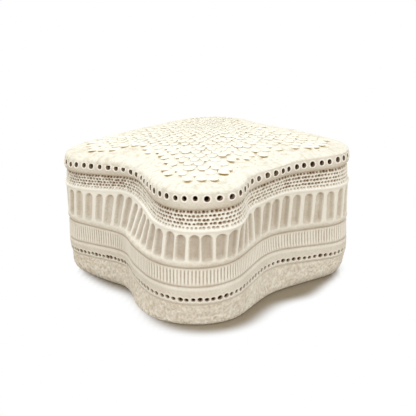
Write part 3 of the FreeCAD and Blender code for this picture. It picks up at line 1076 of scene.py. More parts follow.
@dataclass
class LidRim:
    """The lid's upright edge with its row of pierced holes.

    Each hole sits in a square patch of points, `side` to an edge.  `steps` are the rings
    from the patch in to the hole's mouth.  `shaft` gives the rings down the hole: depth in
    mm, share of the radius, and painted shade, which turns black at the end.
    """

    holes: int = 87
    hole_radius: float = 1.1
    side: int = 8
    cell_half: float = 1.75
    low_rows: int = 9
    high_rows: int = 3
    steps: tuple[float, ...] = (0.3, 0.55, 0.72, 0.85, 0.93, 1.0)
    shaft: tuple[tuple[float, float, float], ...] = (
        (0.3, 0.98, 0.75),
        (1.2, 0.95, 0.7),
        (2.6, 0.92, 1.4),
        (4.2, 0.85, 2.0),
    )
    end_depth: float = 4.3
    seed: int = 21

    def __post_init__(self) -> None:
        """Draw where each hole lies, how wide it is and where its patch starts and ends."""
        rng = np.random.default_rng(self.seed)
        pitch = PLAN.length / self.holes
        centres = (np.arange(self.holes) + 0.5) * pitch + rng.uniform(-0.35, 0.35, self.holes)
        ends = (centres + np.roll(centres, -1)) / 2
        ends[-1] = (centres[-1] + centres[0] + PLAN.length) / 2
        starts = np.roll(ends, 1)
        starts[0] -= PLAN.length
        self._centres, self._starts, self._ends = centres, starts, ends
        self._lift = rng.uniform(-0.15, 0.15, self.holes)
        self._radius = self.hole_radius * rng.uniform(0.88, 1.1, self.holes)

    def face(self, along: np.ndarray, over: np.ndarray, out: np.ndarray) -> np.ndarray:
        """Points of the outer face.

        Args:
            along: distance round the box in mm.
            over: height over the row of holes in mm.
            out: extra distance outwards in mm.

        Returns:
            Points in metres, with a last axis of 3.
        """
        turn = PLAN.at(along)[4]
        row = HOLE_LINE.height_at(turn)
        seam, shoulder = SEAM.height_at(turn), SHOULDER.height_at(turn)
        down = np.clip(-over / (row - seam), 0.0, 1.0)
        rise = np.clip(over / (shoulder - row), 0.0, 1.0)
        height = row + np.where(over < 0, -down * (row - seam), rise * (shoulder - row))
        stand = np.where(
            over < 0,
            HOLE_LINE.stand_at(turn) * (1 - down) + (SEAM.stand_at(turn) + 0.5) * down,
            HOLE_LINE.stand_at(turn) * (1 - rise) + SHOULDER.stand_at(turn) * rise,
        )
        gap = height - seam
        stand = stand + 0.35 * bead(gap - 2.4, 1.6) - 0.75 * bead(gap, 0.55)
        uneven = Grain(self.seed, PLAN.length, 4.0, 90.0)
        stand = stand + 0.08 * uneven(along, height) + out
        return PLAN.place(along, height, stand)

    def _band(
        self, shell: Shell, columns: np.ndarray, over: np.ndarray, wash_and_shade: np.ndarray | float
    ) -> int:
        """Add a band of the face that runs right round.

        Args:
            shell: what gets the points and faces.
            columns: distances round the box in mm.
            over: height of each row over the row of holes in mm.
            wash_and_shade: the band's wash and painted shade.

        Returns:
            The number of its first point.
        """
        first = shell.add(self.face(columns + 0 * over, over, 0 * over), wash_and_shade)
        shell.faces.append(ring_faces(len(over), len(columns), False) + first)
        return first

    def _border(self, k: int, low_edge: int, high_edge: int, sides: int) -> np.ndarray:
        """Numbers of the points round a hole's patch.

        Args:
            k: the hole.
            low_edge: first point of the row under the patches.
            high_edge: first point of the row over them.
            sides: first point of the rows between two patches.

        Returns:
            The numbers, from the lower left corner and round by the lower right one.
        """
        after = (k + 1) % self.holes
        step = np.arange(self.side)
        bottom = low_edge + k * self.side + step
        right = sides + step[:-1] * self.holes + after
        top = high_edge + (k * self.side + self.side - step) % (self.side * self.holes)
        left = sides + step[-2::-1] * self.holes + k
        corners = low_edge + after * self.side, high_edge + k * self.side
        return np.concatenate([bottom, corners[:1], right, top, corners[1:], left])

    def _square(self) -> np.ndarray:
        """The border of a square, in the order that _border goes.

        Returns:
            x and y from -1 to 1, a row to a point.
        """
        edge = np.linspace(-1, 1, self.side + 1)[:-1]
        one = np.ones(self.side)
        sides = [(edge, -one), (one, edge), (-edge, one), (-one, -edge)]
        return np.concatenate([np.stack(side, 1) for side in sides])

    def _hole(self, shell: Shell, k: int, border: np.ndarray) -> None:
        """Fill a patch with a hole, its raised ring and its blind shaft.

        Args:
            shell: what gets the points and faces.
            k: the hole.
            border: numbers of the points round the patch.
        """
        square = self._square()
        angle = np.arctan2(square[:, 1], square[:, 0])
        middle, lift, radius = self._centres[k], self._lift[k], self._radius[k]
        edge_x = (self._ends[k] + self._starts[k]) / 2
        edge_x = edge_x + square[:, 0] * (self._ends[k] - self._starts[k]) / 2
        edge_y = square[:, 1] * self.cell_half
        hole_x = middle + radius * np.cos(angle)
        hole_y = lift + radius * np.sin(angle)
        ring = np.arange(len(square))
        last = border
        for step in self.steps:
            x = edge_x * (1 - step) + hole_x * step
            y = edge_y * (1 - step) + hole_y * step
            away = np.hypot(x - middle, y - lift) - radius
            out = 0.18 * bead(away - 0.35, 0.3) - 0.12 * bead(away, 0.14)
            # Painted highlight: a pale ring round the mouth, which itself is painted darker as painted
            # shade.
            tone = 0.85 if step == 1.0 else -0.95 * bead(away - 0.3, 0.35)
            last = shell.join(last, shell.add(self.face(x, y, out), tone) + ring)
        # Painted shade down the blind shaft, near black at its end.
        for deep, narrow, wash_and_shade in self.shaft:
            x = middle + (hole_x - middle) * narrow
            y = lift + (hole_y - lift) * narrow
            last = shell.join(last, shell.add(self.face(x, y, np.full_like(x, -deep)), wash_and_shade) + ring)
        end = self.face(np.array([middle]), np.array([lift]), np.array([-self.end_depth]))
        shell.join(last, shell.add(end, self.shaft[-1][2]) + 0 * ring)

    def build(self) -> bpy.types.Object:
        """Make the rim with a patch round each hole, and dress it.

        Returns:
            The piece.
        """
        shell = Shell()
        share = np.arange(self.side) / self.side
        wide = (self._ends - self._starts)[:, None]
        columns = (self._starts[:, None] + wide * share).reshape(-1)
        count = len(columns)
        turn = PLAN.at(columns)[4]
        down = HOLE_LINE.height_at(turn) - SEAM.height_at(turn)
        up = SHOULDER.height_at(turn) - HOLE_LINE.height_at(turn)
        below = np.linspace(0.0, 1.0, self.low_rows)[:, None]
        above = np.linspace(0.0, 1.0, self.high_rows)[:, None]
        low_over = -down * (1 - below) + -self.cell_half * below
        high_over = self.cell_half * (1 - above) + up * above
        # The rim's lower edge at the seam is painted a little darker: painted shade.
        low_first = self._band(shell, columns, low_over, 0.15 * bead(low_over + down, 0.7))
        high_first = self._band(shell, columns, high_over, 0.0)
        rows = np.linspace(-self.cell_half, self.cell_half, self.side + 1)[1:-1][:, None]
        sides = shell.add(self.face(self._starts + 0 * rows, rows, 0 * rows))
        low_edge = low_first + (self.low_rows - 1) * count
        for k in range(self.holes):
            self._hole(shell, k, self._border(k, low_edge, high_first, sides))

        crown_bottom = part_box("lid_crown")[0][2] / MM
        seam = SEAM.height_at(turn)
        inner = np.stack([crown_bottom + 0 * columns, (crown_bottom + seam) / 2, seam])
        first = shell.add(PLAN.place(columns + 0 * inner, inner, np.full_like(inner, LID_INSIDE)))
        shell.faces.append(ring_faces(3, count, False) + first)
        around = np.arange(count)
        shell.join(high_first + (self.high_rows - 1) * count + around, first + around)
        shell.join(first + 2 * count + around, low_first + around)
        return dress(shell.build("lid_rim_clay"), "lid_rim", Body.LID, CARVED)


@dataclass
class Scale:
    """One scale of clay: a rounded tip that lifts off the dome, and a buried back end."""

    across: int = 8
    along: int = 6
    thickness: float = 0.45
    sunk: float = 0.35

    def mesh(
        self, width: float, length: float, lift: float, curl: float
    ) -> tuple[np.ndarray, np.ndarray, np.ndarray]:
        """Points of the scale over a flat ground, its faces and its wash.

        Args:
            width: width in mm.
            length: length from the buried end to the tip in mm.
            lift: height of the tip's top over the ground in mm.
            curl: how far the tip's corners lie under its middle in mm.

        Returns:
            Points as x, y and height in mm with the tip at y = 0, faces, and painted shade and
            highlight.
        """
        side = np.linspace(-1.0, 1.0, self.across + 1)[:, None]
        forward = np.linspace(0.0, 1.0, self.along + 1)[None, :] ** 0.8
        reach = length * (0.62 + 0.38 * np.sqrt(1 - 0.98 * side**2))
        x = side * width / 2 * (1 - 0.08 * forward**3) + 0 * forward
        y = length - forward * reach
        rise = -self.sunk + (lift + self.sunk) * ease(0.0, 0.8, forward)
        rise = rise - curl * np.abs(side) ** 3 * ease(0.1, 0.9, forward)
        rise = rise - 0.15 * lift * ease(0.85, 1.0, forward)
        flat = np.stack([x, y, rise + 0 * x], -1).reshape(-1, 3)
        order = [(0, j) for j in range(self.along)]
        order += [(i, self.along) for i in range(self.across)]
        order += [(self.across, j) for j in range(self.along, -1, -1)]
        rim = np.array([i * (self.along + 1) + j for i, j in order])
        edge = flat[rim]
        inward = np.array([0.0, length * 0.6, 0.0]) - edge
        inward[:, 2] = 0.0
        inward /= np.maximum(np.hypot(inward[:, 0], inward[:, 1]), 0.01)[:, None]
        brink = edge + inward * 0.03
        brink[:, 2] -= 0.07
        lower = edge + inward * 0.12
        lower[:, 2] = edge[:, 2] - self.thickness * 0.8
        buried = edge + inward * 0.55
        buried[:, 2] = np.minimum(lower[:, 2] - 0.2, -0.3)
        points = np.vstack([flat, brink, lower, buried])
        index = np.arange(len(flat)).reshape(self.across + 1, self.along + 1)
        corners = [index[:-1, :-1], index[:-1, 1:], index[1:, 1:], index[1:, :-1]]
        quads = np.stack(corners, -1).reshape(-1, 4)
        count = len(rim)
        rows = [rim] + [len(flat) + k * count + np.arange(count) for k in range(3)]
        skirts = [
            np.stack([upper[:-1], under[:-1], under[1:], upper[1:]], 1)
            for upper, under in zip(rows[:-1], rows[1:])
        ]
        # Painted highlight on the top near the tip, and painted shadow on the skirts under it.
        bright = (-0.5 * ease(0.35, 0.95, forward) * (1 - side**2)).reshape(-1)
        wash_and_shade = np.concatenate([bright, np.full(count, 0.6), np.full(2 * count, 1.0)])
        return points, np.vstack([quads, *skirts]), wash_and_shade


@dataclass(frozen=True)
class Tip:
    """Where a scale's tip lies in mm, the turn it points in, its width and its row's depth."""

    x: float
    y: float
    way: float
    wide: float
    depth: float


@dataclass
class LidCrown:
    """The domed top of the lid: a stippled border round a field of overlapping scales.

    The scales lie in rows that fan out from `fan_centre` mm behind the middle.  A row is
    `row_share` of its radius deep and its scales are `pitch` radians apart.  `lumps` and
    `grit` are the marks on the ground: how far apart, and how high, in mm.
    """

    cells: int = 300
    shoulder_inset: float = 6.0
    shoulder_rows: int = 8
    apex: float = 62.2
    lean: float = 7.0
    bend_x: float = 330.0
    bend_y: float = 400.0
    border: float = 7.0
    waist_border: float = 4.5
    fan_centre: float = 110.0
    fan_reach: float = 62.0
    row_share: float = 0.0325
    pitch: float = 0.0335
    scales_aside: int = 26
    valley: float = 1.7
    lumps: tuple[float, float] = (2.2, 0.26)
    grit: tuple[float, float] = (1.0, 0.18)
    seed: int = 31

    def ground(self, x: np.ndarray, y: np.ndarray) -> np.ndarray:
        """Height of the leaning dome with the valleys that run in from the front waists.

        Args:
            x: places in mm.
            y: the same.

        Returns:
            Heights in mm.
        """
        dome = self.apex - (x - self.lean) ** 2 / (2 * self.bend_x) - y * y / (2 * self.bend_y)
        turn = np.degrees(np.arctan2(y, x))
        run = ease(18.0, 46.0, np.hypot(x, y))
        return dome - self.valley * run * (bead(turn + 49.0, 17.0) + bead(turn + 130.0, 17.0))

    def square_to_disc(self, u: np.ndarray, v: np.ndarray) -> tuple[np.ndarray, np.ndarray]:
        """Map a square's points to a disc of radius 1, corner to lobe.

        Args:
            u: places across the square, from -1 to 1.
            v: places up it.

        Returns:
            x and y in the disc.
        """
        x = u * np.sqrt(1 - v * v / 2)
        y = v * np.sqrt(1 - u * u / 2)
        root = math.sqrt(0.5)
        return (x - y) * root, (x + y) * root

    def reach(self, turn: np.ndarray, inset: float) -> tuple[np.ndarray, np.ndarray]:
        """Distance from the middle to the edge, and the way round to it.

        Args:
            turn: directions from the middle.
            inset: how far the edge lies inside the shoulder line in mm.

        Returns:
            The distance, and the distance round the box, both in mm.
        """
        along = np.linspace(0.0, PLAN.length, 3000, endpoint=False)
        x, y, nx, ny, at = PLAN.at(along)
        out = SHOULDER.stand_at(at) - inset
        x, y = x + nx * out, y + ny * out
        circle = 2 * math.pi
        ring = np.arctan2(y, x) % circle
        order = np.argsort(ring)
        ring, far, along = ring[order], np.hypot(x, y)[order], along[order]
        wanted = turn % circle
        # Keep the way round rising with the direction where both start again.
        lap = PLAN.length
        along = np.where((along > lap * 0.75) & (ring < 1.0), along - lap, along)
        along = np.where((along < lap * 0.25) & (ring > 5.0), along + lap, along)
        padded = np.concatenate([ring - circle, ring, ring + circle])
        laps = np.concatenate([along - lap, along, along + lap])
        return np.interp(wanted, ring, far, period=circle), np.interp(wanted, padded, laps)

    def fan(self) -> list[Tip]:
        """Where the scales lie, in staggered rows; they widen towards the sides.

        Returns:
            Every tip of the fan, also those beyond the lid.
        """
        rng = np.random.default_rng(self.seed)
        tips = []
        radius, row = self.fan_centre - self.fan_reach, 0
        while radius < self.fan_centre + self.fan_reach:
            depth = self.row_share * radius
            for number in range(-self.scales_aside, self.scales_aside + 1):
                k = number + 0.5 * (row % 2)
                turn = self.pitch * k * (1 + 0.0014 * k * k)
                pitch = self.pitch * (1 + 0.0042 * k * k)
                wide = pitch * radius * rng.uniform(0.86, 1.04)
                turn += rng.normal(0, 0.07) * pitch
                far = radius + rng.normal(0, 0.09) * depth
                x, y = far * math.sin(turn), self.fan_centre - far * math.cos(turn)
                tips.append(Tip(x, y, turn + rng.normal(0.0, 0.1), wide, depth))
            radius += depth
            row += 1
        return tips

    def inset_of(self, x: np.ndarray, y: np.ndarray) -> np.ndarray:
        """How far places lie inside the shoulder line.

        Args:
            x: places in mm.
            y: the same.

        Returns:
            Distances in mm.
        """
        along = np.linspace(0.0, PLAN.length, 1200, endpoint=False)
        px, py, nx, ny, at = PLAN.at(along)
        out = SHOULDER.stand_at(at)
        near = np.full(np.shape(x), np.inf)
        for qx, qy in zip(px + nx * out, py + ny * out):
            near = np.minimum(near, (x - qx) ** 2 + (y - qy) ** 2)
        return np.sqrt(near)

    def scales(self) -> tuple[np.ndarray, np.ndarray, np.ndarray, list[tuple[Tip, float]]]:
        """All the scales on the dome.

        Returns:
            Points in mm, faces, painted shade and highlight, and each tip with the strength of its
            painted shadow.
        """
        rng = np.random.default_rng(self.seed + 1)
        fan = self.fan()
        xs, ys = np.array([tip.x for tip in fan]), np.array([tip.y for tip in fan])
        within = np.hypot(xs, ys) < self.reach(np.arctan2(ys, xs), 0.0)[0]
        inset = self.inset_of(xs, ys)
        from_waist = np.abs(np.abs(np.arctan2(ys, xs)) % (math.pi / 2) - math.pi / 4)
        edges = self.border + np.where(from_waist < 0.45, self.waist_border, 0.0)
        points, faces, wash_and_shade, kept = [], [], [], []
        total = 0
        for tip, inside, deep, edge in zip(fan, within, inset, edges):
            if not inside or deep < edge + rng.uniform(-2.0, 1.0):
                continue
            rim = math.exp(-(((deep - edge) / 8.0) ** 2))
            front = min(1.0, max(0.0, (20.0 - tip.y) / 60.0))
            lift = 0.33 + 0.12 * rim * (0.3 + 0.7 * front) + 0.24 * front
            lift = lift * rng.uniform(0.65, 1.25)
            form, quads, dark = Scale().mesh(tip.wide, tip.depth * 2.0, lift, lift * (0.4 + 0.9 * rim))
            c, s = math.cos(tip.way), math.sin(tip.way)
            px = tip.x + form[:, 0] * c - form[:, 1] * s
            py = tip.y + form[:, 0] * s + form[:, 1] * c
            points.append(np.stack([px, py, self.ground(px, py) + form[:, 2]], 1))
            faces.append(quads + total)
            # How strong each tip's painted shadow is: more near the border's edge, towards the front
            # and towards the right.
            strength = (0.6 + 0.5 * rim) * rng.uniform(0.6, 1.2)
            strength = strength * (0.8 + 0.3 * front + 0.004 * tip.x)
            wash_and_shade.append(np.where(dark > 0, dark * strength, dark))
            kept.append((tip, lift * strength))
            total += len(form)
        return np.vstack(points), np.vstack(faces), np.concatenate(wash_and_shade), kept

    def paint_tip_shadows(
        self, x: np.ndarray, y: np.ndarray, kept: list[tuple[Tip, float]]
    ) -> np.ndarray:
        """Painted shadow on the ground in front of each tip.

        Args:
            x: places on the ground in mm.
            y: the same.
            kept: the tips, each with the strength of its shadow.

        Returns:
            The painted shadow at each place.
        """
        shade = np.zeros_like(x)
        for tip, strength in kept:
            near = (np.abs(x - tip.x) < tip.wide) & (np.abs(y - tip.y) < tip.wide)
            c, s = math.cos(tip.way), math.sin(tip.way)
            dx, dy = x[near] - tip.x, y[near] - tip.y
            across, ahead = (dx * c + dy * s) / tip.wide, -dx * s + dy * c
            bow = 1 - np.sqrt(np.clip(1 - (2 * across) ** 2, 0, 1))
            mark = bead(ahead - 0.342 * tip.wide * bow + 0.2, 0.5)
            mark = mark * ease(0.42, 0.15, np.abs(across - 0.05))
            shade[near] = np.maximum(shade[near], mark * min(1.0, 1.9 * strength))
        return shade

    def build(self) -> bpy.types.Object:
        """Make the crown and dress it.

        Returns:
            The piece.
        """
        shell = Shell()
        grid = np.linspace(-1.0, 1.0, self.cells + 1)
        dx, dy = self.square_to_disc(*np.meshgrid(grid, grid, indexing="ij"))
        turn = np.arctan2(dy, dx)
        share = np.minimum(np.hypot(dx, dy), 1.0)
        far, along_at = self.reach(turn, self.shoulder_inset)
        x, y = share * far * np.cos(turn), share * far * np.sin(turn)
        inset = (1 - share) * far
        tiles, tile_faces, tile_shade_and_highlight, kept = self.scales()

        # The stippled clay, rougher on the border, with specks of wash, painted shade in the dips of
        # its lumps, painted shade along the border, weakest at the front, and painted shadows in front
        # of the scale tips.
        coarse = Grain(self.seed + 2, 2 * HALF_SPAN, self.lumps[0], 2 * HALF_SPAN)
        fine = Grain(self.seed + 3, 2 * HALF_SPAN, self.grit[0], 2 * HALF_SPAN)
        lumps = coarse(x + HALF_SPAN, y + HALF_SPAN)
        border = 1 - ease(self.border + 1.0, self.border + 7.0, inset)
        dabs = self.lumps[1] * lumps + self.grit[1] * fine(x + HALF_SPAN, y + HALF_SPAN)
        height = self.ground(x, y) + dabs * (0.4 + 0.6 * border) * ease(0.0, 1.2, inset)
        specks_and_dip_shade = 0.5 * ease(0.75, 0.95, -fine(x + 90, y + 70))
        specks_and_dip_shade = specks_and_dip_shade + (0.2 + 0.06 * border) * ease(0.0, 1.0, -lumps)
        # Painted shade along the border, fading towards the front.
        painted_border_shade = 0.07 * (1 - 0.85 * ease(0.0, 40.0, -y))
        wash_and_shade = np.maximum(self.paint_tip_shadows(x, y, kept), specks_and_dip_shade + painted_border_shade * border)
        shell.add(np.stack([x, y, height], axis=-1) * MM, wash_and_shade)
        index = np.arange(len(grid) ** 2).reshape(len(grid), len(grid))
        shell.faces.append(grid_faces(index))

        # The rounded shoulder, from the edge of the grid down to the rim.
        edge = np.concatenate([index[:-1, 0], index[-1, :-1], index[:0:-1, -1], index[0, :0:-1]])
        around = along_at.reshape(-1)[edge]
        at = PLAN.at(around)[4]
        bend = np.linspace(0.0, math.pi / 2, self.shoulder_rows + 1)[1:][:, None]
        low = SHOULDER.height_at(at)
        rise = self.ground(x, y).reshape(-1)[edge] - low
        ring_height = low + rise * np.cos(bend)
        grit = Grain(self.seed + 5, PLAN.length, 1.3, 90.0)(around + 0 * bend, ring_height)
        ring_stand = SHOULDER.stand_at(at) - self.shoulder_inset * (1 - np.sin(bend))
        ring_stand = ring_stand + 0.12 * grit * np.sin(2 * bend)
        # The shoulder carries the border's painted shade, and darker specks where its grit stands out.
        edge_shade_and_specks = painted_border_shade.reshape(-1)[edge] + 0.22 * ease(0.2, 0.9, grit)
        count = len(edge)
        first = shell.add(PLAN.place(around + 0 * bend, ring_height, ring_stand), edge_shade_and_specks)
        crown_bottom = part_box("lid_crown")[0][2] / MM
        shell.add(PLAN.place(around, np.full(count, crown_bottom), np.full(count, LID_INSIDE)))
        rows = [edge]
        rows += [first + k * count + np.arange(count) for k in range(self.shoulder_rows + 1)]
        for upper, lower in zip(rows[:-1], rows[1:]):
            corners = [upper, lower, np.roll(lower, -1), np.roll(upper, -1)]
            shell.faces.append(np.stack(corners, 1))
        hub = shell.add(np.array([[0.0, 0.0, crown_bottom * MM]]))
        after = np.roll(rows[-1], -1)
        shell.faces.append(np.stack([rows[-1], np.full(count, hub), after, after], 1))
        shell.faces.append(tile_faces + shell.add(tiles * MM, tile_shade_and_highlight))
        return dress(shell.build("lid_crown_clay"), "lid_crown", Body.LID, GROGGED_PAINTED_PALER)


# ---------------------------------------------------------------------------
# The sponged members inside
# ---------------------------------------------------------------------------


@dataclass
class FloorSlab:
    """The floor, flat below and slightly dished by the sponge above."""

    columns: int = 720
    rings: int = 40
    dish: float = 0.35
    seed: int = 41

    def build(self) -> bpy.types.Object:
        """Make the slab and dress it.

        Returns:
            The piece.
        """
        low, high = (corner[2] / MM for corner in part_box("floor_slab"))
        along = np.linspace(0.0, PLAN.length, self.columns, endpoint=False)
        x, y, nx, ny, _ = PLAN.at(along)
        edge = np.stack([x - nx * WALL, y - ny * WALL], 1)
        marks = Grain(self.seed, 2 * HALF_SPAN, 7.0, 2 * HALF_SPAN)
        rings = [np.column_stack([edge, np.full(self.columns, low)])]
        for share in np.linspace(1.0, 0.0, self.rings, endpoint=False):
            plan = edge * share
            touch = marks(plan[:, 0] + HALF_SPAN, plan[:, 1] + HALF_SPAN) - 1.0
            sag = self.dish * touch * min(1.0, (1 - share) * 6)
            rings.append(np.column_stack([plan, high + sag]))
        shell = Shell()
        shell.add(np.vstack(rings) * MM)
        shell.faces.append(ring_faces(len(rings), self.columns, False))
        hub = shell.add(np.array([[0, 0, high - self.dish], [0, 0, low]]) * MM)
        first = np.arange(self.columns)
        shell.join((len(rings) - 1) * self.columns + first, np.full(self.columns, hub))
        bottom = np.full(self.columns, hub + 1)
        shell.faces.append(np.stack([np.roll(first, -1), first, bottom, bottom], 1))
        return dress(shell.build("floor_slab_clay"), "floor_slab", Body.BASE, SPONGED)


@dataclass
class LidFlange:
    """The ring inside the rim, with its lower edges rounded by the sponge."""

    columns: int = 720
    rounding: float = 0.9
    seed: int = 42

    def build(self) -> bpy.types.Object:
        """Make the ring and dress it.

        Returns:
            The piece.
        """
        low, high = (corner[2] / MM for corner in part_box("lid_flange"))
        outer, inner = LID_INSIDE, LID_INSIDE - FLANGE_THICKNESS
        quarter = [
            (self.rounding * (1 - math.cos(bend)), self.rounding * (1 - math.sin(bend)))
            for bend in np.linspace(0.0, math.pi / 2, 6)
        ]
        section = [(outer, high), (outer, (high + low) / 2)]
        section += [(outer - less, low + more) for less, more in quarter]
        section += [(inner + more, low + less) for less, more in quarter]
        section += [(inner, (high + low) / 2), (inner, high)]
        along = np.linspace(0.0, PLAN.length, self.columns, endpoint=False)[None, :]
        stand, height = np.array(section).T[:, :, None]
        touch = Grain(self.seed, PLAN.length, 8.0, 90.0)
        hidden = (stand < outer - 0.01) & (height < high - 0.01)
        stand = stand - 0.12 * hidden * (1 + touch(along + 0 * stand, height + 0 * along))
        shell = Shell()
        shell.add(PLAN.place(along + 0 * stand, height + 0 * along, stand + 0 * along))
        shell.faces.append(ring_faces(len(section), self.columns, True)[:, ::-1])
        return dress(shell.build("lid_flange_clay"), "lid_flange", Body.LID, SPONGED)


# ---------------------------------------------------------------------------
# Stage
# ---------------------------------------------------------------------------


@dataclass(frozen=True)
class Lamp:
    """A square soft lamp that points at the box: its place and side in metres, and watts."""

    name: str
    place: tuple[float, float, float]
    side: float
    watts: float

    def hang(self) -> None:
        """Add the lamp to the scene."""
        data = bpy.data.lights.new(self.name, "AREA")
        data.shape = "SQUARE"
        data.size = self.side
        data.energy = self.watts
        item = bpy.data.objects.new(self.name, data)
        place = Vector(self.place)
        aim = (Vector((0, 0, 0.03)) - place).to_track_quat("-Z", "Y").to_matrix().to_4x4()
        item.matrix_world = Matrix.Translation(place) @ aim
        bpy.context.scene.collection.objects.link(item)


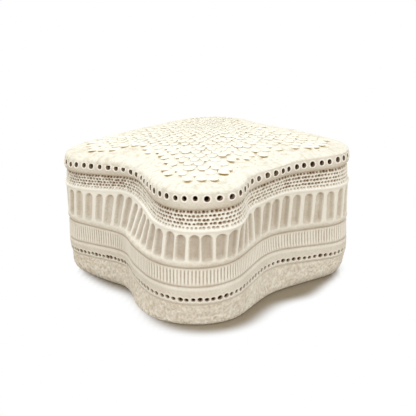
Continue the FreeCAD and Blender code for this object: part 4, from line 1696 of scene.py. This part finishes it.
@dataclass(frozen=True)
class Stage:
    """A pale table under a soft overhead light, and the camera in front of it.

    The camera's angles are in degrees, its distance in metres, its lens and sensor in mm
    and its shift in frame widths.  The table shows the camera a painted shadow: its darker
    paper, only in a patch round the box's plan moved a few mm, which turns white to the
    camera over the distances in `fade`; the lamps shade the paper as well.
    """

    azimuth: float = 4.4
    elevation: float = 18.9
    distance: float = 0.3976
    roll: float = -0.64
    focus: tuple[float, float, float] = (0.0, 0.0, 0.0256)
    lens: float = 74.25
    sensor: float = 36.0
    shift: tuple[float, float] = (0.00457, 0.01298)
    shadow_patch_shift: tuple[float, float] = (2.6, -1.4)
    fade: tuple[float, float] = (-1.0, 7.6)
    # Where the painted shadow patch starts to thin out on the right and on the left, and how slowly.
    thin_right: tuple[float, float] = (44.0, 6.0)
    thin_left: tuple[float, float] = (38.0, 8.0)
    # The waist that the light reaches least, so that the painted shadow patch lies further out there.
    hollow: Fold = Fold(-38.0, 14.0, -4.4)
    # The paper is the floor for every ray; to the camera it is a painted shadow inside the patch.
    paper_and_painted_shadow: str = "#A09582"
    surround: float = 0.77
    lamps: tuple[Lamp, ...] = (
        Lamp("overhead softbox", (-0.2, 0.28, 1.0), 0.22, 4.7),
        Lamp("left fill", (-0.85, -0.9, 0.3), 0.8, 5.2),
        Lamp("right fill", (0.9, -0.9, 0.3), 0.8, 6.6),
    )

    def camera(self) -> None:
        """Put the camera at the viewing angle."""
        data = bpy.data.cameras.new("camera")
        data.sensor_width = self.sensor
        data.lens = self.lens
        data.clip_start = 0.01
        data.clip_end = 20.0
        data.shift_x, data.shift_y = self.shift
        camera = bpy.data.objects.new("camera", data)
        a, e = math.radians(self.azimuth), math.radians(self.elevation)
        away = Vector((math.sin(a) * math.cos(e), -math.cos(a) * math.cos(e), math.sin(e)))
        place = Vector(self.focus) + away * self.distance
        turn = (-away).to_track_quat("-Z", "Y").to_matrix().to_4x4()
        roll = Matrix.Rotation(math.radians(self.roll), 4, "Z")
        camera.matrix_world = Matrix.Translation(place) @ turn @ roll
        bpy.context.scene.collection.objects.link(camera)
        bpy.context.scene.camera = camera

    def brightness(self, x: np.ndarray, y: np.ndarray) -> np.ndarray:
        """How white the table turns to the camera.

        Args:
            x: places on the table in mm.
            y: the same.

        Returns:
            0 where only the paper shows, as painted shadow, up to 1 where all of it is white.
        """
        away = self.outside(x - self.shadow_patch_shift[0], y - self.shadow_patch_shift[1])
        for side, (start, slowly) in ((x, self.thin_right), (-x, self.thin_left)):
            away = away + (np.maximum(side - start, 0.0) / slowly) ** 2
        return ease(*self.fade, away + self.hollow.at(np.arctan2(y, x)))

    def table(self) -> None:
        """A warm tan table, which the camera sees as a painted shadow round the box that turns white a
        little way out.
        """
        near = np.concatenate([[-3.0, -1.0], np.linspace(-0.16, 0.16, 129), [1.0, 3.0]])
        x, y = np.meshgrid(near, near, indexing="ij")
        index = np.arange(x.size).reshape(x.shape)
        mesh = bpy.data.meshes.new("table")
        points = np.stack([x, y, 0 * x], -1).reshape(-1, 3)
        mesh.from_pydata(points.tolist(), [], grid_faces(index).tolist())
        bright = self.brightness(x / MM, y / MM).reshape(-1).astype(np.float32)
        mesh.attributes.new("bright", "FLOAT", "POINT").data.foreach_set("value", bright)
        floor = bpy.data.objects.new("table", mesh)
        bpy.context.scene.collection.objects.link(floor)
        # Warm tan paper: to the camera, a painted shadow inside the patch that the lamps shade
        # further, and plain white beyond; every other ray sees the paper.
        material = bpy.data.materials.new("paper sweep with painted shadow")
        material.use_nodes = True
        tree = material.node_tree
        tree.nodes.clear()
        path = add_node(tree, "ShaderNodeLightPath").outputs["Is Camera Ray"]
        mask = add_node(tree, "ShaderNodeAttribute", {"attribute_name": "bright"}).outputs["Fac"]
        seen = add_node(tree, "ShaderNodeMath", {"operation": "MULTIPLY"}, {0: path, 1: mask})
        paper_and_painted_shadow = add_node(tree, "ShaderNodeBsdfDiffuse", {"Color": linear(self.paper_and_painted_shadow)})
        white = add_node(tree, "ShaderNodeEmission", {"Color": (1, 1, 1, 1), "Strength": 1.0})
        links = {0: seen.outputs[0], 1: paper_and_painted_shadow.outputs[0], 2: white.outputs[0]}
        both = add_node(tree, "ShaderNodeMixShader", links=links)
        add_node(tree, "ShaderNodeOutputMaterial", links={"Surface": both.outputs[0]})
        mesh.materials.append(material)

    def outside(self, x: np.ndarray, y: np.ndarray) -> np.ndarray:
        """How far places on the table lie outside the box's plan.

        Args:
            x: places in mm.
            y: the same.

        Returns:
            Distances in mm, below 0 inside the plan.
        """
        along = np.linspace(0.0, PLAN.length, 360, endpoint=False)
        px, py, nx, ny, _ = PLAN.at(along)
        best = np.full(x.shape, np.inf)
        signed = np.zeros(x.shape)
        for qx, qy, mx, my in zip(px, py, nx, ny):
            gap = np.hypot(x - qx, y - qy)
            closer = gap < best
            best = np.where(closer, gap, best)
            signed = np.where(closer, np.sign((x - qx) * mx + (y - qy) * my) * gap, signed)
        return signed

    def light(self) -> None:
        """A softbox overhead and behind, two weak fills in front, and an even white surround."""
        for lamp in self.lamps:
            lamp.hang()
        world = bpy.data.worlds.new("white surround")
        bpy.context.scene.world = world
        world.use_nodes = True
        tree = world.node_tree
        tree.nodes.clear()
        links = {0: add_node(tree, "ShaderNodeLightPath").outputs["Is Camera Ray"]}
        for number, strength in ((1, self.surround), (2, 1.0)):
            settings = {"Color": (1, 1, 1, 1), "Strength": strength}
            links[number] = add_node(tree, "ShaderNodeBackground", settings).outputs[0]
        mix = add_node(tree, "ShaderNodeMixShader", links=links)
        add_node(tree, "ShaderNodeOutputWorld", links={"Surface": mix.outputs[0]})
        bpy.context.scene.view_settings.view_transform = "Standard"


def main() -> None:
    """Build the box piece by piece, then the stage."""
    logging.basicConfig(level=logging.INFO, format="%(message)s")
    for finish in (CARVED, GROGGED, GROGGED_PAINTED_PALER, SPONGED):
        MATERIALS[finish.name] = finish.build()
    makers = [
        FloorSlab(),
        FootCourse("foot_course", TABLE_LINE, FOOT_LINE, GROGGED, 1300, 16, seed=2),
        PrickedCourse("pricked_course", FOOT_LINE, PRICK_LINE, CARVED, 2058, 30, seed=3),
        ReededCourse("reeded_course", PRICK_LINE, REED_LINE, CARVED, 2096, 20, seed=4),
        FlutedCourse("fluted_course", REED_LINE, LIP, CARVED, 1496, 52, seed=5),
        DimpledCourse("dimpled_course", LIP, SEAM, CARVED, 1808, 38, seed=6),
        LidRim(),
        LidCrown(),
        LidFlange(),
    ]
    for maker in makers:
        item = maker.build()
        LOG.info("%s: %d faces", item.name, len(item.data.polygons))
    stage = Stage()
    stage.camera()
    stage.table()
    stage.light()


if __name__ == "__main__":
    main()
